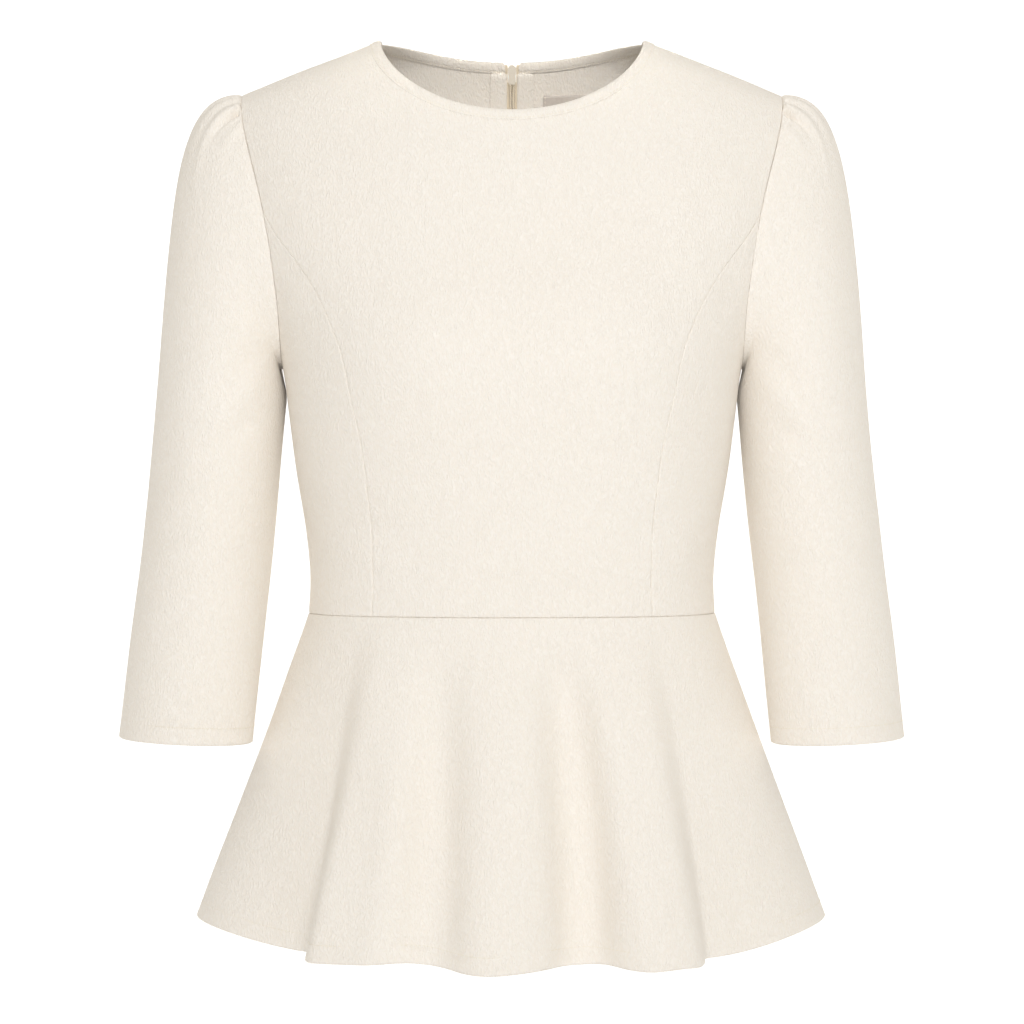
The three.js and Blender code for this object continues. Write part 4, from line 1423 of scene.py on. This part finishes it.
def build_hardware(name, body):
    """The slider or its pull, as its solid with softened edges."""
    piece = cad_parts[name].copy()
    piece.data = piece.data.copy()
    piece.name = f"{name}_enamel"
    piece.parent = None
    for key in list(piece.keys()):
        del piece[key]
    bpy.context.scene.collection.objects.link(piece)
    piece.data.materials.clear()
    piece.data.materials.append(ENAMEL)
    bevel = piece.modifiers.new("soft edges", "BEVEL")
    bevel.width = ENAMEL_EDGE * MM
    bevel.segments = 3
    bevel.limit_method = "ANGLE"
    bevel.angle_limit = math.radians(35)
    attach(piece, body)
    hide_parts(name)


build_front()
build_pair("side_front", side_front_places(), FRONT_CREASES)
build_pair("back", back_places(), BACK_CREASES, build_turning)
for side in ("left", "right"):
    build_sleeve(side)
    build_tape(side)
    build_coil(side)
    sew_tape(side)
build_peplum("peplum_front", -90, 90, PEPLUM_CREASES)
for side in ("left", "right"):
    build_peplum(f"peplum_back_{side}", 90, 180)
build_binding()
build_label()
build_hardware("zip_slider", "garment")
build_hardware("zip_pull", "pull")


# Stage, light and camera, in metres

CAMERA_BACK = 1.8
CAMERA_HEIGHT = -0.328
SENSOR = 36  # millimetres
FRAME_WIDTH = 0.7168  # of the picture at the middle of the garment
FLOOR = -0.76
STAGE_HALF = 4
STAGE_BEND = 1.2  # radius of the curve between the floor and the backdrop
STAGE_GLOW = 0.68
ROOM_LIGHT = (1, 0.945, 0.84, 1)
ROOM_STRENGTH = 0.47

# Soft lights: name, place, aim, size, watts, colour, spread in degrees
LIGHTS = [
    ("softbox in front", (0.2, -2.2, 0.52), (0, 0, -0.4), (0.9, 0.9), 21.4, (0.95, 0.965, 1), 180),
    ("softbox above", (0.15, -0.5, 1.5), (0, 0, -0.2), (1.2, 0.9), 3.6, (1, 1, 1), 180),
    ("light at the neck", (0.02, -0.5, 0.34), (0, 0.06, -0.03), (0.2, 0.04), 0.022, (1, 0.92, 0.79), 20),
]


def stage_material():
    """Pale paper with a painted glow, faint in front and full where it runs back and rises into the
    backdrop.
    """
    material, shader, place = new_material("stage paper", (0.9, 0.9, 0.9))
    haze = place.noise(1.5)
    connect(haze.blend((0.86, 0.86, 0.86), (0.88, 0.88, 0.88)), shader, "Base Color")
    connect(haze * 0.1 + 0.85, shader, "Roughness")
    # Painted light: the paper glows by itself, faintly on the floor in front and fully toward the
    # backdrop.
    glow = place.axis("Y").between(-0.3, 0.35)
    connect(glow.blend((0.2, 0.2, 0.2), (1, 1, 1)), shader, "Emission Color")
    shader.inputs["Emission Strength"].default_value = STAGE_GLOW
    return material


def build_stage():
    """A pale floor that curves up into a backdrop."""
    bend = np.linspace(0, np.pi / 2, 13)
    along = [-3.0, 1.2, *(1.6 + STAGE_BEND * np.sin(bend)), 2.8]
    up = [0.0, 0.0, *(STAGE_BEND * (1 - np.cos(bend))), 4.0]
    points = [(x, y, FLOOR + z) for y, z in zip(along, up) for x in (-STAGE_HALF, STAGE_HALF)]
    faces = [(2 * i, 2 * i + 1, 2 * i + 3, 2 * i + 2) for i in range(len(along) - 1)]
    mesh = bpy.data.meshes.new("stage")
    mesh.from_pydata(points, [], faces)
    mesh.polygons.foreach_set("use_smooth", [True] * len(faces))
    mesh.materials.append(stage_material())
    in_scene("stage", mesh)


def build_light():
    world = bpy.data.worlds.new("soft room")
    world.use_nodes = True
    background = world.node_tree.nodes["Background"]
    background.inputs["Color"].default_value = ROOM_LIGHT
    background.inputs["Strength"].default_value = ROOM_STRENGTH
    bpy.context.scene.world = world
    for name, place, aim, size, power, colour, spread in LIGHTS:
        light = bpy.data.lights.new(name, "AREA")
        light.shape = "RECTANGLE"
        light.size, light.size_y = size
        light.energy = power
        light.color = colour
        light.spread = math.radians(spread)
        lamp = in_scene(name, light)
        lamp.location = place
        lamp.rotation_euler = (Vector(aim) - Vector(place)).to_track_quat("-Z", "Y").to_euler()


def build_camera():
    camera = bpy.data.cameras.new("camera")
    camera.sensor_width = SENSOR
    camera.lens = SENSOR * CAMERA_BACK / FRAME_WIDTH
    camera.clip_start = 0.01
    eye = in_scene("camera", camera)
    eye.location = (0, -CAMERA_BACK, CAMERA_HEIGHT)
    eye.rotation_euler = (math.pi / 2, 0, 0)
    bpy.context.scene.camera = eye


build_stage()
build_light()
build_camera()
bpy.context.scene.view_settings.view_transform = "Standard"

print("cuts in mm:", CUTS)
